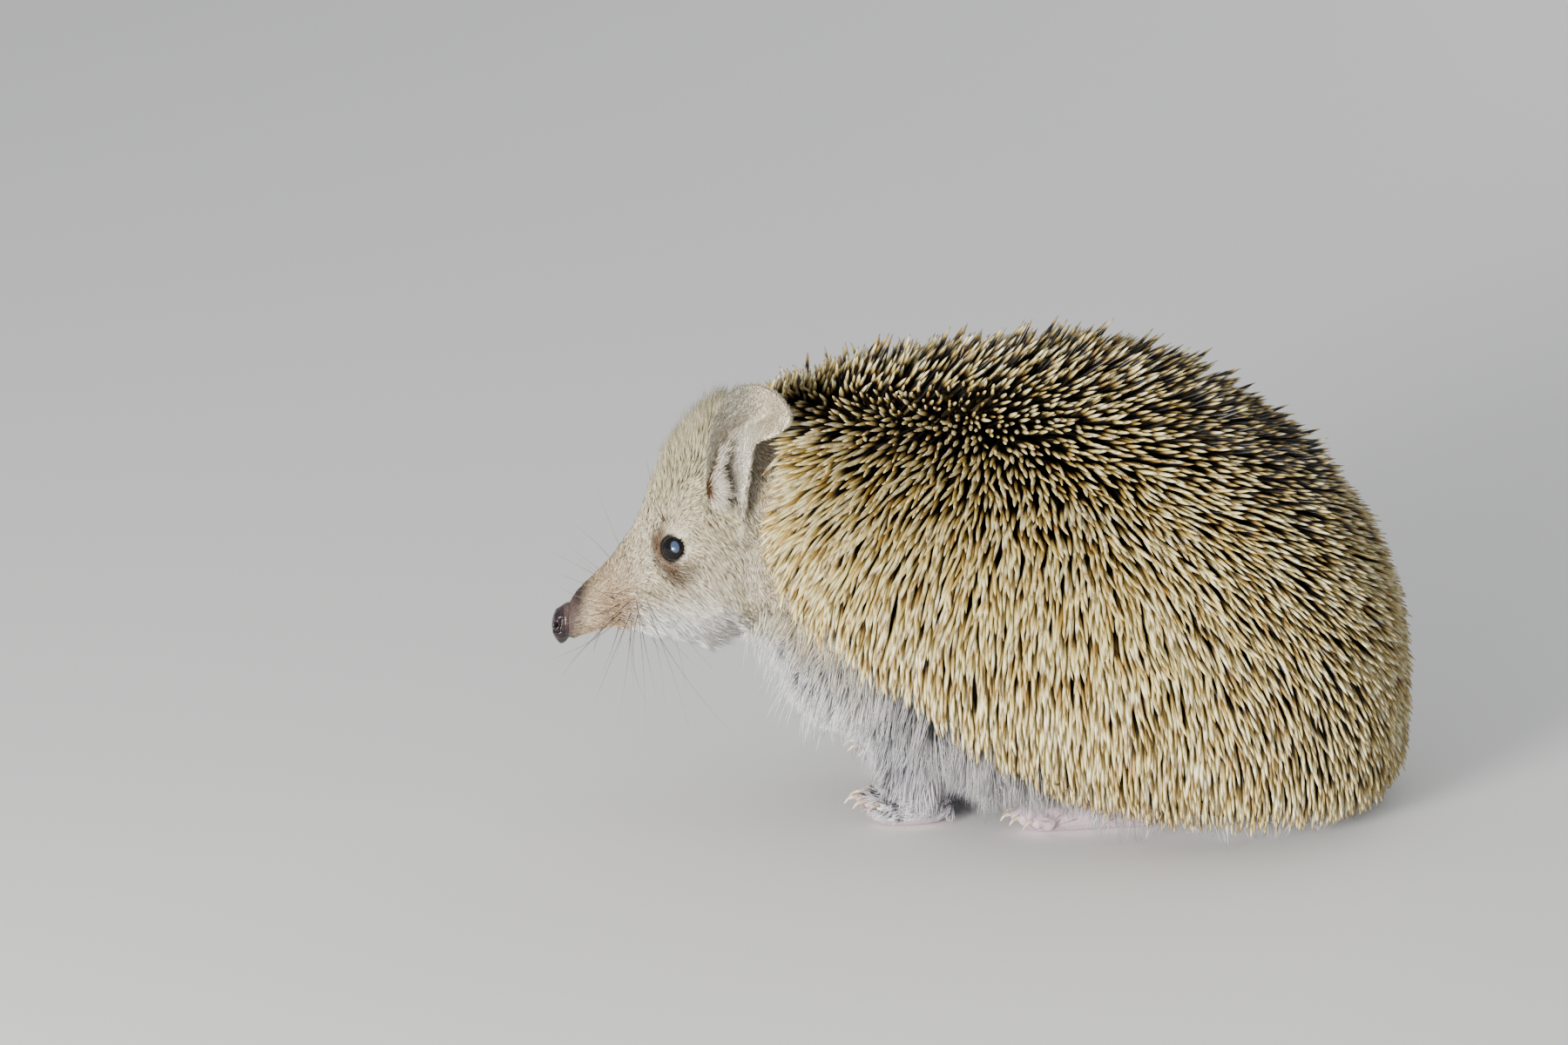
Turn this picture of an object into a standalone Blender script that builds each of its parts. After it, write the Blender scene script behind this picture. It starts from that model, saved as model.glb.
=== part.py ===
"""A long-eared hedgehog standing hunched on the floor, life size, as closed solids.

The animal faces -Y with its left side at +X and stands on Z = 0. Shapes are worked out in
millimetres and written in metres. The trunk is the outline of the coat, out to the spine tips.
"""

import math

import bmesh
import bpy
import numpy as np
from mathutils import Vector

MM = 0.001
GAP = 0.3  # clearance left between neighbouring pieces
LEFT, RIGHT = 1, -1
SIDES = {"left": LEFT, "right": RIGHT}

# Driving places along the animal, from the nose at -Y to the rump at +Y.
NOSE_TIP_Y = -92.5
NOSE_BACK_Y = -88.6
HEAD_BACK_Y = -53.0
MANTLE_FRONT_Y = -48.8
NECK_END_Y = -42.0
RUMP_Y = 92.5

# Sections of the body, each (y, top, widest level, bottom, half width, power above, power below).
# The power is that of a superellipse: 2 is an ellipse, more is squarer.
NOSE_SECTIONS = [
    (NOSE_TIP_Y + 0.1, 39.6, 38.4, 37.0, 1.2, 2.0, 2.0),
    (NOSE_TIP_Y + 0.5, 40.9, 38.5, 36.0, 2.2, 2.0, 2.0),
    (NOSE_TIP_Y + 1.4, 42.0, 38.7, 35.0, 3.1, 2.2, 1.8),
    (NOSE_TIP_Y + 2.6, 42.9, 39.2, 34.8, 3.4, 2.2, 1.7),
    (NOSE_BACK_Y, 43.6, 39.7, 35.7, 3.3, 2.2, 1.9),
]
HEAD_SECTIONS = [
    (NOSE_BACK_Y + GAP, 43.9, 39.8, 35.6, 3.5, 2.1, 2.0),
    (-86.5, 46.4, 40.8, 35.9, 4.6, 2.0, 2.0),
    (-83.5, 49.4, 42.0, 36.7, 5.9, 2.0, 2.1),
    (-80.0, 53.5, 43.5, 37.2, 7.7, 2.0, 2.2),
    (-76.0, 60.6, 46.0, 36.9, 10.2, 2.0, 2.2),
    (-72.0, 68.6, 49.0, 36.5, 13.0, 2.0, 2.1),
    (-68.0, 75.2, 52.0, 36.5, 15.4, 2.05, 2.1),
    (-64.0, 80.6, 54.5, 36.0, 17.3, 2.1, 2.1),
    (-60.0, 84.6, 56.5, 34.6, 18.7, 2.2, 2.0),
    (-56.5, 86.8, 57.5, 34.3, 19.5, 2.2, 2.0),
    (HEAD_BACK_Y, 87.9, 58.5, 34.8, 20.0, 2.2, 2.0),
]
NECK_SECTIONS = [
    (HEAD_BACK_Y + GAP, 88.0, 58.5, 34.8, 20.0, 2.2, 2.0),
    (-50.5, 87.4, 59.0, 35.0, 20.2, 2.1, 2.0),
    (-47.0, 86.6, 59.5, 36.0, 20.0, 2.0, 2.0),
    (NECK_END_Y, 84.0, 60.0, 38.0, 19.0, 2.0, 2.0),
]
TRUNK_SECTIONS = [
    (MANTLE_FRONT_Y, 88.6, 60.0, 34.5, 22.0, 2.0, 2.0),
    (-47.8, 90.8, 60.0, 31.0, 26.0, 2.0, 2.0),
    (-45.6, 92.8, 59.0, 26.5, 29.6, 2.0, 2.0),
    (-41.5, 94.8, 57.5, 21.0, 33.8, 2.0, 2.0),
    (-36.0, 96.8, 54.5, 16.5, 37.6, 2.0, 2.0),
    (-28.0, 99.2, 51.0, 13.5, 41.8, 2.0, 2.0),
    (-16.0, 101.4, 47.0, 9.5, 46.4, 2.0, 2.1),
    (-4.0, 102.9, 44.0, 6.0, 50.2, 2.0, 2.2),
    (9.0, 103.4, 42.0, 4.2, 53.0, 2.0, 2.6),
    (23.0, 103.8, 40.0, 1.6, 54.0, 2.0, 3.1),
    (38.0, 100.6, 38.0, -0.6, 53.6, 2.0, 3.6),
    (53.0, 93.4, 35.5, -1.2, 50.8, 2.0, 4.0),
    (65.0, 84.6, 33.5, -1.2, 46.4, 2.0, 4.0),
    (74.0, 76.2, 31.5, -0.9, 41.0, 2.0, 3.8),
    (81.0, 67.2, 30.0, -0.3, 34.2, 2.0, 3.4),
    (86.5, 57.8, 28.5, 1.2, 26.0, 2.1, 2.8),
    (90.0, 46.8, 27.0, 5.0, 17.0, 2.1, 2.2),
    (91.8, 38.0, 26.5, 12.5, 9.5, 2.0, 2.0),
]
RUMP_POLE = (RUMP_Y, 26.0)
BELLY_HOLLOW = 5.0  # how much higher the furry belly lies than the skirt of spines beside it
BELLY_HOLLOW_HALF_WIDTH = 13.0
BELLY_HOLLOW_FROM_Y, BELLY_HOLLOW_TO_Y = 5.0, 84.0

MOUTH_CORNER_Y = -71.0  # where the lips end, under the eye
MOUTH_FRONT_Y = -85.6
MOUTH_HEIGHT = 38.4  # of the lip line at the front of the mouth
MOUTH_RISE = 0.16  # how fast the lip line climbs toward its corner
MOUTH_BACK_LEAN = 0.9  # how far the cut behind the jaw moves back for each millimetre down
CHIN_BELOW = 28.0  # a height below the whole chin
HEAD_BESIDE = 25.0  # a distance outside the whole head

NOSTRIL_RADIUS = 0.75
NOSTRIL_PLACE = (2.55, -91.6, 39.1)

EYE_RADIUS = 2.9
EYE_CENTRE = (13.7, -66.6, 58.6)

EAR_THICKNESS = 1.5
# The two edges of each ear from its root inside the head to its folded tip, each row the front
# edge's (x, y, z), the rear edge's (x, y, z) and the depth of the hollow between them, with x
# counted outward. The left ear stands up and folds back, and the right one is laid back.
EAR_ROWS = {
    "left": [
        (14.0, -59.0, 62.5, 13.0, -52.8, 57.0, 1.0),
        (18.4, -59.2, 68.6, 18.4, -52.2, 61.6, 1.6),
        (20.6, -59.4, 75.0, 20.4, -51.4, 67.0, 2.4),
        (22.0, -59.2, 82.0, 21.6, -50.6, 73.0, 3.0),
        (23.4, -58.0, 89.0, 22.8, -49.9, 78.4, 3.2),
        (24.8, -55.4, 94.6, 24.4, -49.4, 82.2, 3.2),
        (26.4, -51.8, 97.8, 26.0, -48.7, 84.8, 3.0),
        (28.0, -47.8, 98.4, 27.6, -47.2, 86.0, 2.8),
        (29.6, -44.3, 96.8, 29.2, -45.6, 87.0, 2.4),
        (31.0, -42.2, 94.5, 30.6, -43.6, 88.4, 1.8),
        (31.8, -41.4, 92.4, 31.6, -42.2, 90.0, 0.8),
    ],
    "right": [
        (14.0, -59.0, 62.0, 13.0, -53.0, 57.0, 1.0),
        (18.6, -58.8, 68.6, 18.4, -52.2, 61.4, 1.8),
        (22.4, -56.8, 74.4, 23.4, -50.8, 64.6, 2.8),
        (26.0, -53.4, 78.4, 28.8, -48.8, 67.4, 3.2),
        (29.6, -49.4, 81.2, 33.8, -46.0, 70.0, 3.2),
        (33.0, -45.4, 83.0, 37.6, -42.6, 72.6, 3.0),
        (36.0, -41.4, 83.6, 40.4, -39.4, 75.2, 2.6),
        (38.6, -38.2, 83.0, 42.0, -36.8, 77.6, 1.8),
        (40.6, -36.2, 81.4, 42.4, -35.6, 79.4, 0.8),
    ],
}
EAR_FACING = {"left": (0.93, -0.33, -0.08), "right": (0.80, -0.52, 0.28)}  # where the hollow looks
EAR_ACROSS = 6

# Paths of the limbs on the left side, each point (x, y, z, half width, half depth).
FORELEG_PATH = [
    (20.5, -22.0, 40.0, 6.5, 7.5),
    (21.5, -20.0, 33.0, 7.6, 8.8),
    (22.5, -17.5, 25.5, 7.2, 8.4),
    (22.3, -16.0, 18.5, 6.8, 7.8),
    (21.4, -15.8, 13.0, 6.0, 7.0),
    (20.8, -15.6, 9.0, 5.0, 6.0),
]
HINDLEG_PATH = [
    (22.5, 60.0, 27.0, 6.5, 9.0),
    (24.0, 53.0, 24.0, 8.6, 12.0),
    (24.8, 45.0, 19.5, 9.0, 12.4),
    (24.8, 38.5, 14.2, 7.4, 9.0),
    (24.4, 34.6, 10.0, 5.2, 6.0),
    (24.2, 33.2, 7.4, 4.0, 4.4),
]
TAIL_PATH = [
    (0.0, 70.0, 12.0, 3.0, 3.0),
    (0.0, 75.0, 9.6, 2.7, 2.6),
    (0.0, 80.0, 6.6, 2.1, 2.0),
    (0.0, 84.5, 4.0, 1.5, 1.4),
    (0.0, 88.0, 2.5, 0.9, 0.9),
]


class Foot:
    """The sizes of one kind of foot, which points to -Y before it is turned and placed."""

    def __init__(self, place, turn, sole, spread, toe_length, toe_radius, claw_length, lift):
        self.place = place  # x and y of the ball of the foot, on the left side
        self.turn = turn  # degrees that the toes turn outward
        self.sole = sole  # path of the sole from the heel to the ball
        self.spread = spread  # degrees between neighbouring toes
        self.toe_length = toe_length
        self.toe_radius = toe_radius
        self.claw_length = claw_length
        self.lift = lift  # how high the toes' ends are held


FOREFOOT = Foot(
    place=(20.3, -19.5),
    turn=6.0,
    sole=[
        (0.0, 12.0, 3.3, 2.2, 2.0),
        (0.0, 9.5, 3.7, 3.8, 3.6),
        (0.0, 5.0, 4.1, 4.6, 4.5),
        (0.0, 0.5, 3.5, 5.0, 3.8),
        (0.0, -2.6, 3.0, 4.4, 2.9),
        (0.0, -4.2, 2.8, 2.6, 1.8),
    ],
    spread=13.0,
    toe_length=6.6,
    toe_radius=1.45,
    claw_length=3.4,
    lift=4.2,
)
HINDFOOT = Foot(
    place=(24.0, 13.0),
    turn=9.0,
    sole=[
        (0.0, 24.5, 3.4, 2.4, 2.4),
        (0.0, 21.0, 3.6, 4.4, 4.0),
        (0.0, 13.0, 3.5, 4.9, 3.9),
        (0.0, 4.0, 3.6, 5.5, 4.0),
        (0.0, -2.0, 3.3, 5.6, 3.6),
        (0.0, -4.6, 2.8, 3.8, 2.4),
    ],
    spread=10.0,
    toe_length=6.2,
    toe_radius=1.6,
    claw_length=3.0,
    lift=0.6,
)
TOE_COUNT = 5
TOE_GAP = 0.42  # between neighbouring toes' roots, as a part of the ball's half width
TOE_ROOT_HEIGHT = 2.6
TOE_SHORTENING = 0.085  # how much shorter each toe is by the square of its place from the middle
KNUCKLE_RISE = 0.55  # of the foot's lift
CLAW_RADII = (0.75, 0.55, 0.28)  # at its root, its middle and its tip


def clear_scene():
    for item in list(bpy.data.objects):
        bpy.data.objects.remove(item)


def make_material(name, colour, roughness):
    """A Principled material from the colour's linear red, green and blue."""
    material = bpy.data.materials.new(name)
    material.use_nodes = True
    shader = material.node_tree.nodes["Principled BSDF"]
    shader.inputs["Base Color"].default_value = (*colour, 1.0)
    shader.inputs["Roughness"].default_value = roughness
    shader.inputs["Metallic"].default_value = 0.0
    return material


def smooth_rows(stations, rows_between):
    """The stations with rows added between them along a Catmull-Rom curve."""
    points = np.array(stations, float)
    padded = np.vstack([2 * points[0] - points[1], points, 2 * points[-1] - points[-2]])
    rows = []
    for i in range(len(points) - 1):
        before, start, end, after = padded[i : i + 4]
        for step in range(rows_between + 1):
            t = step / (rows_between + 1)
            bend = 2 * before - 5 * start + 4 * end - after
            twist = 3 * start - before - 3 * end + after
            rows.append(start + 0.5 * t * ((end - before) + t * (bend + t * twist)))
    rows.append(points[-1])
    return np.array(rows)


def sheet_of_rings(bm, rings, first_pole, last_pole):
    """A closed tube through the rings, ended by a fan to each pole."""
    made = [[bm.verts.new(Vector(point) * MM) for point in ring] for ring in rings]
    count = len(made[0])
    for here, there in zip(made, made[1:]):
        for i in range(count):
            j = (i + 1) % count
            bm.faces.new((here[i], here[j], there[j], there[i]))
    for ring, pole, turned in ((made[0], first_pole, True), (made[-1], last_pole, False)):
        tip = bm.verts.new(Vector(pole) * MM)
        for i in range(count):
            j = (i + 1) % count
            corner = (ring[j], ring[i], tip) if turned else (ring[i], ring[j], tip)
            bm.faces.new(corner)


def finish(name, bm, material):
    """A smooth object from the mesh, with its faces turned outward."""
    bmesh.ops.recalc_face_normals(bm, faces=bm.faces)
    mesh = bpy.data.meshes.new(name)
    bm.to_mesh(mesh)
    bm.free()
    mesh.materials.append(material)
    mesh.shade_smooth()
    mesh.set_sharp_from_angle(angle=math.radians(50))
    made = bpy.data.objects.new(name, mesh)
    bpy.context.scene.collection.objects.link(made)
    return made


def signed_power(value, power):
    return math.copysign(abs(value) ** power, value)


def body_ring(section, count, hollow_at=None):
    """One upright section of the body, from its left side over the top."""
    y, top, level, bottom, half_width, power_above, power_below = section
    ring = []
    for i in range(count):
        angle = 2 * math.pi * i / count
        power = 2 / (power_above if math.sin(angle) >= 0 else power_below)
        height = (top - level) if math.sin(angle) >= 0 else (level - bottom)
        x = half_width * signed_power(math.cos(angle), power)
        z = level + height * signed_power(math.sin(angle), power)
        if hollow_at and math.sin(angle) < 0:
            z += hollow_at(x, y) * min(1.0, (level - z) / height)
        ring.append((x, y, z))
    return ring


def body_loft(name, sections, material, count, rows_between=0, poles=None, hollow_at=None):
    """A solid through upright sections, closed flat at its ends or drawn to the poles given."""
    rows = smooth_rows(sections, rows_between)
    rings = [body_ring(row, count, hollow_at) for row in rows]
    middles = [(0.0, row[0], row[2]) for row in (rows[0], rows[-1])]
    first, last = poles or (None, None)
    bm = bmesh.new()
    sheet_of_rings(bm, rings, first or middles[0], last or middles[1])
    return finish(name, bm, material)


def path_rings(path, count, side_axis=(1.0, 0.0, 0.0)):
    """Rings square to a path whose points are (x, y, z, half width, half depth)."""
    points = np.array([row[:3] for row in path], float)
    along = np.gradient(points, axis=0)
    rings = []
    for row, point, step in zip(path, points, along):
        step = Vector(step).normalized()
        side = Vector(side_axis)
        side = (side - step * side.dot(step)).normalized()
        depth = step.cross(side)
        ring = []
        for i in range(count):
            angle = 2 * math.pi * i / count
            across = side * (row[3] * math.cos(angle)) + depth * (row[4] * math.sin(angle))
            ring.append(Vector(point) + across)
        rings.append(ring)
    return rings


def add_limb(bm, path, count, rows_between, tip_reach=0.45, side_axis=(1.0, 0.0, 0.0)):
    """A tube along a path with rounded ends, whose tips reach out by a part of the end's size."""
    rows = smooth_rows(path, rows_between)
    rings = path_rings(rows, count, side_axis)
    ends = []
    for row, other in ((rows[0], rows[1]), (rows[-1], rows[-2])):
        outward = Vector(row[:3] - other[:3]).normalized()
        ends.append(Vector(row[:3]) + outward * (tip_reach * min(row[3], row[4])))
    sheet_of_rings(bm, rings, ends[0], ends[1])


def limb(name, path, material, count=9, rows_between=1):
    bm = bmesh.new()
    add_limb(bm, path, count, rows_between)
    return finish(name, bm, material)


def mirrored(path, side):
    return [(side * row[0], *row[1:]) for row in path]


def as_helper(item):
    item.hide_render = True
    item.display_type = "WIRE"
    item.hide_set(True)
    return item


def fattened(item, clearance=GAP):
    """A helper copy of a piece, grown outward by the clearance."""
    mesh = item.data.copy()
    moves = [vertex.normal * (clearance * MM) for vertex in mesh.vertices]
    for vertex, move in zip(mesh.vertices, moves):
        vertex.co += move
    copy = bpy.data.objects.new("clear_" + item.name, mesh)
    bpy.context.scene.collection.objects.link(copy)
    return as_helper(copy)


def combine(item, other, operation):
    step = item.modifiers.new(operation.lower() + "_" + other.name, "BOOLEAN")
    step.operation = operation
    step.solver = "EXACT"
    step.object = other
    return step


def cut(item, *cutters):
    for cutter in cutters:
        combine(item, cutter, "DIFFERENCE")


def box(name, low, high):
    """A helper block between two corners."""
    bm = bmesh.new()
    bmesh.ops.create_cube(bm, size=1.0)
    low, high = Vector(low), Vector(high)
    for vertex in bm.verts:
        part = vertex.co + Vector((0.5, 0.5, 0.5))
        vertex.co = Vector(low[i] + (high[i] - low[i]) * part[i] for i in range(3)) * MM
    return as_helper(finish(name, bm, materials["bare_skin"]))


def smooth_step(value, start, end):
    part = min(1.0, max(0.0, (value - start) / (end - start)))
    return part * part * (3 - 2 * part)


def belly_hollow(x, y):
    """How far the belly is drawn up between the two sides of the skirt."""
    fade = smooth_step(y, BELLY_HOLLOW_FROM_Y, BELLY_HOLLOW_FROM_Y + 25.0)
    fade *= 1.0 - smooth_step(y, BELLY_HOLLOW_TO_Y, BELLY_HOLLOW_TO_Y + 8.0)
    return BELLY_HOLLOW * fade * math.exp(-((x / BELLY_HOLLOW_HALF_WIDTH) ** 2))


def make_trunk():
    pole = (0.0, RUMP_POLE[0], RUMP_POLE[1])
    return body_loft(
        "trunk", TRUNK_SECTIONS, materials["spiny_coat"], 32, 0, (None, pole), belly_hollow
    )


def make_nose():
    tip = (0.0, NOSE_TIP_Y, NOSE_SECTIONS[0][2])
    nose = body_loft("nose_pad", NOSE_SECTIONS, materials["nose_leather"], 16, 1, (tip, None))
    for side_name, side in SIDES.items():
        bm = bmesh.new()
        x, y, z = NOSTRIL_PLACE
        inward = [
            (side * (x + 1.6), y - 0.6, z + 0.2, NOSTRIL_RADIUS, NOSTRIL_RADIUS * 1.3),
            (side * x, y, z, NOSTRIL_RADIUS, NOSTRIL_RADIUS * 1.2),
            (side * (x - 1.3), y + 0.7, z - 0.2, NOSTRIL_RADIUS * 0.7, NOSTRIL_RADIUS * 0.8),
        ]
        add_limb(bm, inward, 8, 0, side_axis=(0.0, 1.0, 0.0))
        cut(nose, as_helper(finish("nostril_" + side_name, bm, materials["nose_leather"])))
    return nose


def lip_height(y):
    return MOUTH_HEIGHT + (y - MOUTH_FRONT_Y) * MOUTH_RISE


def jaw_wedge(name, clearance):
    """A helper block that holds everything below the lip line, from chin to mouth corner."""
    front, back = MOUTH_FRONT_Y - clearance, MOUTH_CORNER_Y + clearance
    outline = [
        (front, lip_height(front) + clearance),
        (back, lip_height(back) + clearance),
        (back + (lip_height(back) - CHIN_BELOW) * MOUTH_BACK_LEAN, CHIN_BELOW),
        (front - 2.0, CHIN_BELOW),
    ]
    bm = bmesh.new()
    rows = []
    for x in (-HEAD_BESIDE, HEAD_BESIDE):
        rows.append([bm.verts.new(Vector((x, y, z)) * MM) for y, z in outline])
    for i in range(len(outline)):
        j = (i + 1) % len(outline)
        bm.faces.new((rows[0][i], rows[0][j], rows[1][j], rows[1][i]))
    bm.faces.new(rows[0])
    bm.faces.new(rows[1])
    return as_helper(finish(name, bm, materials["face_fur"]))


def make_head():
    """The head and the lower jaw, parted along the lips from one loft."""
    head = body_loft("head", HEAD_SECTIONS, materials["face_fur"], 24)
    jaw = body_loft("lower_jaw", HEAD_SECTIONS, materials["face_fur"], 24)
    cut(head, jaw_wedge("jaw_room", GAP))
    combine(jaw, jaw_wedge("jaw_shape", 0.0), "INTERSECT")
    return head


def make_neck():
    return body_loft("neck", NECK_SECTIONS, materials["face_fur"], 24)


def make_eye(side_name, side):
    bm = bmesh.new()
    bmesh.ops.create_uvsphere(bm, u_segments=12, v_segments=8, radius=EYE_RADIUS * MM)
    x, y, z = EYE_CENTRE
    bmesh.ops.translate(bm, verts=bm.verts, vec=Vector((side * x, y, z)) * MM)
    return finish("eye_" + side_name, bm, materials["eye_gloss"])


def ear_ring(row, side, facing):
    """One crosswise outline of an ear: over its hollow to the rear edge and back behind."""
    front, rear = Vector(row[:3]), Vector(row[3:6])
    hollow, back = [], []
    for i in range(EAR_ACROSS):
        part = i / (EAR_ACROSS - 1)
        dip = row[6] * (1 - abs(2 * part - 1) ** 2.5)
        half_thickness = EAR_THICKNESS * (0.3 + 0.2 * (1 - abs(2 * part - 1) ** 3))
        middle = front.lerp(rear, part) - facing * dip
        for line, offset in ((hollow, half_thickness), (back, -half_thickness)):
            point = middle + facing * offset
            line.append((side * point.x, point.y, point.z))
    return hollow + back[::-1]


def make_ear(side_name, side):
    """A cupped sheet with a real thickness between the ear's two edges."""
    rows = smooth_rows(EAR_ROWS[side_name], 1)
    facing = Vector(EAR_FACING[side_name]).normalized()
    rings = [ear_ring(row, side, facing) for row in rows]
    ends = []
    for row, other in ((rows[0], rows[1]), (rows[-1], rows[-2])):
        end, before = ((place[:3] + place[3:6]) / 2 for place in (row, other))
        reach = end + 0.4 * (end - before)
        ends.append((side * reach[0], reach[1], reach[2]))
    bm = bmesh.new()
    sheet_of_rings(bm, rings, *ends)
    return finish("ear_" + side_name, bm, materials["face_fur"])


def toe_paths(foot):
    """The paths of the toes and claws of a foot that points to -Y."""
    toes, claws = [], []
    middle = (TOE_COUNT - 1) / 2
    ball = foot.sole[-3]
    for i in range(TOE_COUNT):
        place = i - middle
        angle = math.radians(place * foot.spread)
        forward = Vector((math.sin(angle), -math.cos(angle), 0.0))
        start = Vector((place * ball[3] * TOE_GAP, -1.0 + 0.55 * abs(place), TOE_ROOT_HEIGHT))
        length = foot.toe_length * (1.0 - TOE_SHORTENING * place * place)
        radius = foot.toe_radius
        knuckle = start + forward * (length * 0.5)
        knuckle.z += 0.25 + KNUCKLE_RISE * foot.lift
        end = start + forward * length + Vector((0, 0, foot.lift - 1.0))
        before_end = end.lerp(knuckle, 0.35)
        toes.append([
            (*start, radius * 1.1, radius * 1.1),
            (*knuckle, radius, radius),
            (*before_end, radius, radius * 0.95),
            (*end, radius * 0.85, radius * 0.8),
        ])
        claw_places = (
            end - forward * 0.6 + Vector((0, 0, 0.35)),
            end + forward * (foot.claw_length * 0.55) + Vector((0, 0, 0.3)),
            end + forward * foot.claw_length + Vector((0, 0, -0.9)),
        )
        claws.append([(*point, size, size) for point, size in zip(claw_places, CLAW_RADII)])
    return toes, claws


def place_foot(bm, foot, side):
    """Turns the foot's toes outward and sets it in its place on one side."""
    turn = math.radians(foot.turn)
    for vertex in bm.verts:
        x, y, z = vertex.co
        turned_x = x * math.cos(turn) - y * math.sin(turn)
        turned_y = x * math.sin(turn) + y * math.cos(turn)
        vertex.co = Vector((side * (turned_x + foot.place[0] * MM), turned_y + foot.place[1] * MM, z))


def make_foot(name, foot, side, material):
    """A foot with its toes and claws in one body, cut flat where it meets the floor."""
    bm = bmesh.new()
    add_limb(bm, foot.sole, 12, 0)
    place_foot(bm, foot, side)
    body = finish(name, bm, material)
    bm = bmesh.new()
    toes, claws = toe_paths(foot)
    for path in toes:
        add_limb(bm, path, 6, 0, tip_reach=0.8)
    for path in claws:
        add_limb(bm, path, 5, 0, tip_reach=0.5)
    place_foot(bm, foot, side)
    digits = as_helper(finish(name + "_digits", bm, material))
    joined = combine(body, digits, "UNION")
    joined.use_self = True
    return body


clear_scene()
materials = {
    "spiny_coat": make_material("spiny_coat", (0.42, 0.34, 0.20), 0.5),
    "face_fur": make_material("face_fur", (0.46, 0.35, 0.22), 0.85),
    "belly_fur": make_material("belly_fur", (0.50, 0.46, 0.42), 0.85),
    "bare_skin": make_material("bare_skin", (0.42, 0.26, 0.22), 0.6),
    "nose_leather": make_material("nose_leather", (0.05, 0.025, 0.03), 0.25),
    "eye_gloss": make_material("eye_gloss", (0.006, 0.005, 0.005), 0.05),
}

floor = box("floor_cut", (-80.0, -120.0, -30.0), (80.0, 120.0, 0.0))
trunk = make_trunk()
neck = make_neck()
head = make_head()
nose = make_nose()
cut(trunk, fattened(neck))

tail = limb("tail", TAIL_PATH, materials["bare_skin"], count=8)
cut(trunk, fattened(tail))

for side_name, side in SIDES.items():
    eye = make_eye(side_name, side)
    cut(head, fattened(eye))
    ear = make_ear(side_name, side)
    cut(ear, fattened(head), fattened(neck), fattened(trunk))
    foreleg = limb("foreleg_" + side_name, mirrored(FORELEG_PATH, side), materials["belly_fur"])
    hindleg = limb("hindleg_" + side_name, mirrored(HINDLEG_PATH, side), materials["belly_fur"])
    forefoot = make_foot("forefoot_" + side_name, FOREFOOT, side, materials["bare_skin"])
    hindfoot = make_foot("hindfoot_" + side_name, HINDFOOT, side, materials["bare_skin"])
    cut(forefoot, fattened(foreleg), floor)
    cut(hindfoot, fattened(hindleg), floor)
    cut(trunk, fattened(foreleg), fattened(hindleg), fattened(hindfoot))
cut(trunk, floor)
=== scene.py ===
"""The looks of a long-eared hedgehog, life size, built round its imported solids.

The animal faces -Y, its left side is +X and it stands on Z = 0. Sizes are worked out in
millimetres and written in metres.
"""

import itertools
import math
from collections import namedtuple

import bmesh
import bpy
import numpy as np
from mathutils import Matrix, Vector, kdtree
from mathutils.bvhtree import BVHTree


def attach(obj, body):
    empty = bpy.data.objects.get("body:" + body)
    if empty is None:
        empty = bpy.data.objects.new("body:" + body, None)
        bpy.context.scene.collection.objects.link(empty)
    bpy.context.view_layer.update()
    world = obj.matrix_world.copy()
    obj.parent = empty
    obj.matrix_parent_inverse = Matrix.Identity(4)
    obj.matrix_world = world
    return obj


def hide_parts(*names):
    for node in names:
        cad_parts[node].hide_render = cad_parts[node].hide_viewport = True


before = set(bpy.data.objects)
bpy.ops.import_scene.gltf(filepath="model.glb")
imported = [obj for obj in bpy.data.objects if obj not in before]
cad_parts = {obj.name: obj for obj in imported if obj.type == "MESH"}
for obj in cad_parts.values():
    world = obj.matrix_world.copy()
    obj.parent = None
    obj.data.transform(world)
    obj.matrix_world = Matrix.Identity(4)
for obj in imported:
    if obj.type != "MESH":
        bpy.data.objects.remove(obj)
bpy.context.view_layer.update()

MM = 0.001
SIDES = {"left": 1.0, "right": -1.0}
rng = np.random.default_rng(41)

SKIN_VOXEL = 0.55  # grain of the skin before its face is refined
EYE_RADIUS = 2.95
EYE_CENTRE = np.array([13.35, -65.7, 59.1])
EYE_SHIFT = np.array([0.0, 0.8, 0.6])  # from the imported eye's place
EYE_AXIS = np.array([0.93, -0.26, 0.20])  # where the eye looks
EYE_OPENING = 53.0  # degrees from the axis to the edge of the lids
LID_THICKNESS = 0.28
EAR_FOOT = 64  # below this height the ear is buried in the head
FLOOR_GAP = 0.05  # no hair comes nearer to the floor
FACE_HAIRS = 8.0  # to a square millimetre, like the next two
EAR_HAIRS = 17.0
GUARD_HAIRS = 0.12
TUFT_HAIRS = 1900  # for both ears
HAIR_SIDES = 3
SPINE_SIDES = 6
BAKE_PATCH = 0.003  # of the map, for one strand
LONG_STRAND = [(0.0, 1.0), (0.35, 0.95), (0.7, 0.7)]
FUR_STRAND = [(0.0, 1.0), (0.5, 0.85)]
VELVET_STRAND = [(0.0, 1.0)]

# How deep the skin lies below the tips of the coat, by how far the surface leans from upright.
COAT_DEPTH_LEANS = [0.0, 25.0, 42.0, 55.0, 70.0, 88.0, 110.0, 150.0]
COAT_DEPTHS = [13.0, 13.0, 14.0, 11.5, 8.8, 7.4, 6.4, 4.5]


# ---------------------------------------------------------------- small tools

def unit(vectors):
    vectors = np.asarray(vectors, float)
    return vectors / np.maximum(np.linalg.norm(vectors, axis=-1, keepdims=True), 1e-9)


def ramp(values, start, end):
    """0 before start, 1 after end, with a soft turn between them."""
    part = np.clip((np.asarray(values, float) - start) / (end - start), 0.0, 1.0)
    return part * part * (3 - 2 * part)


def bell(values, width):
    """1 where the values are 0, falling off to either side."""
    return np.exp(-((values / width) ** 2))


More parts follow.
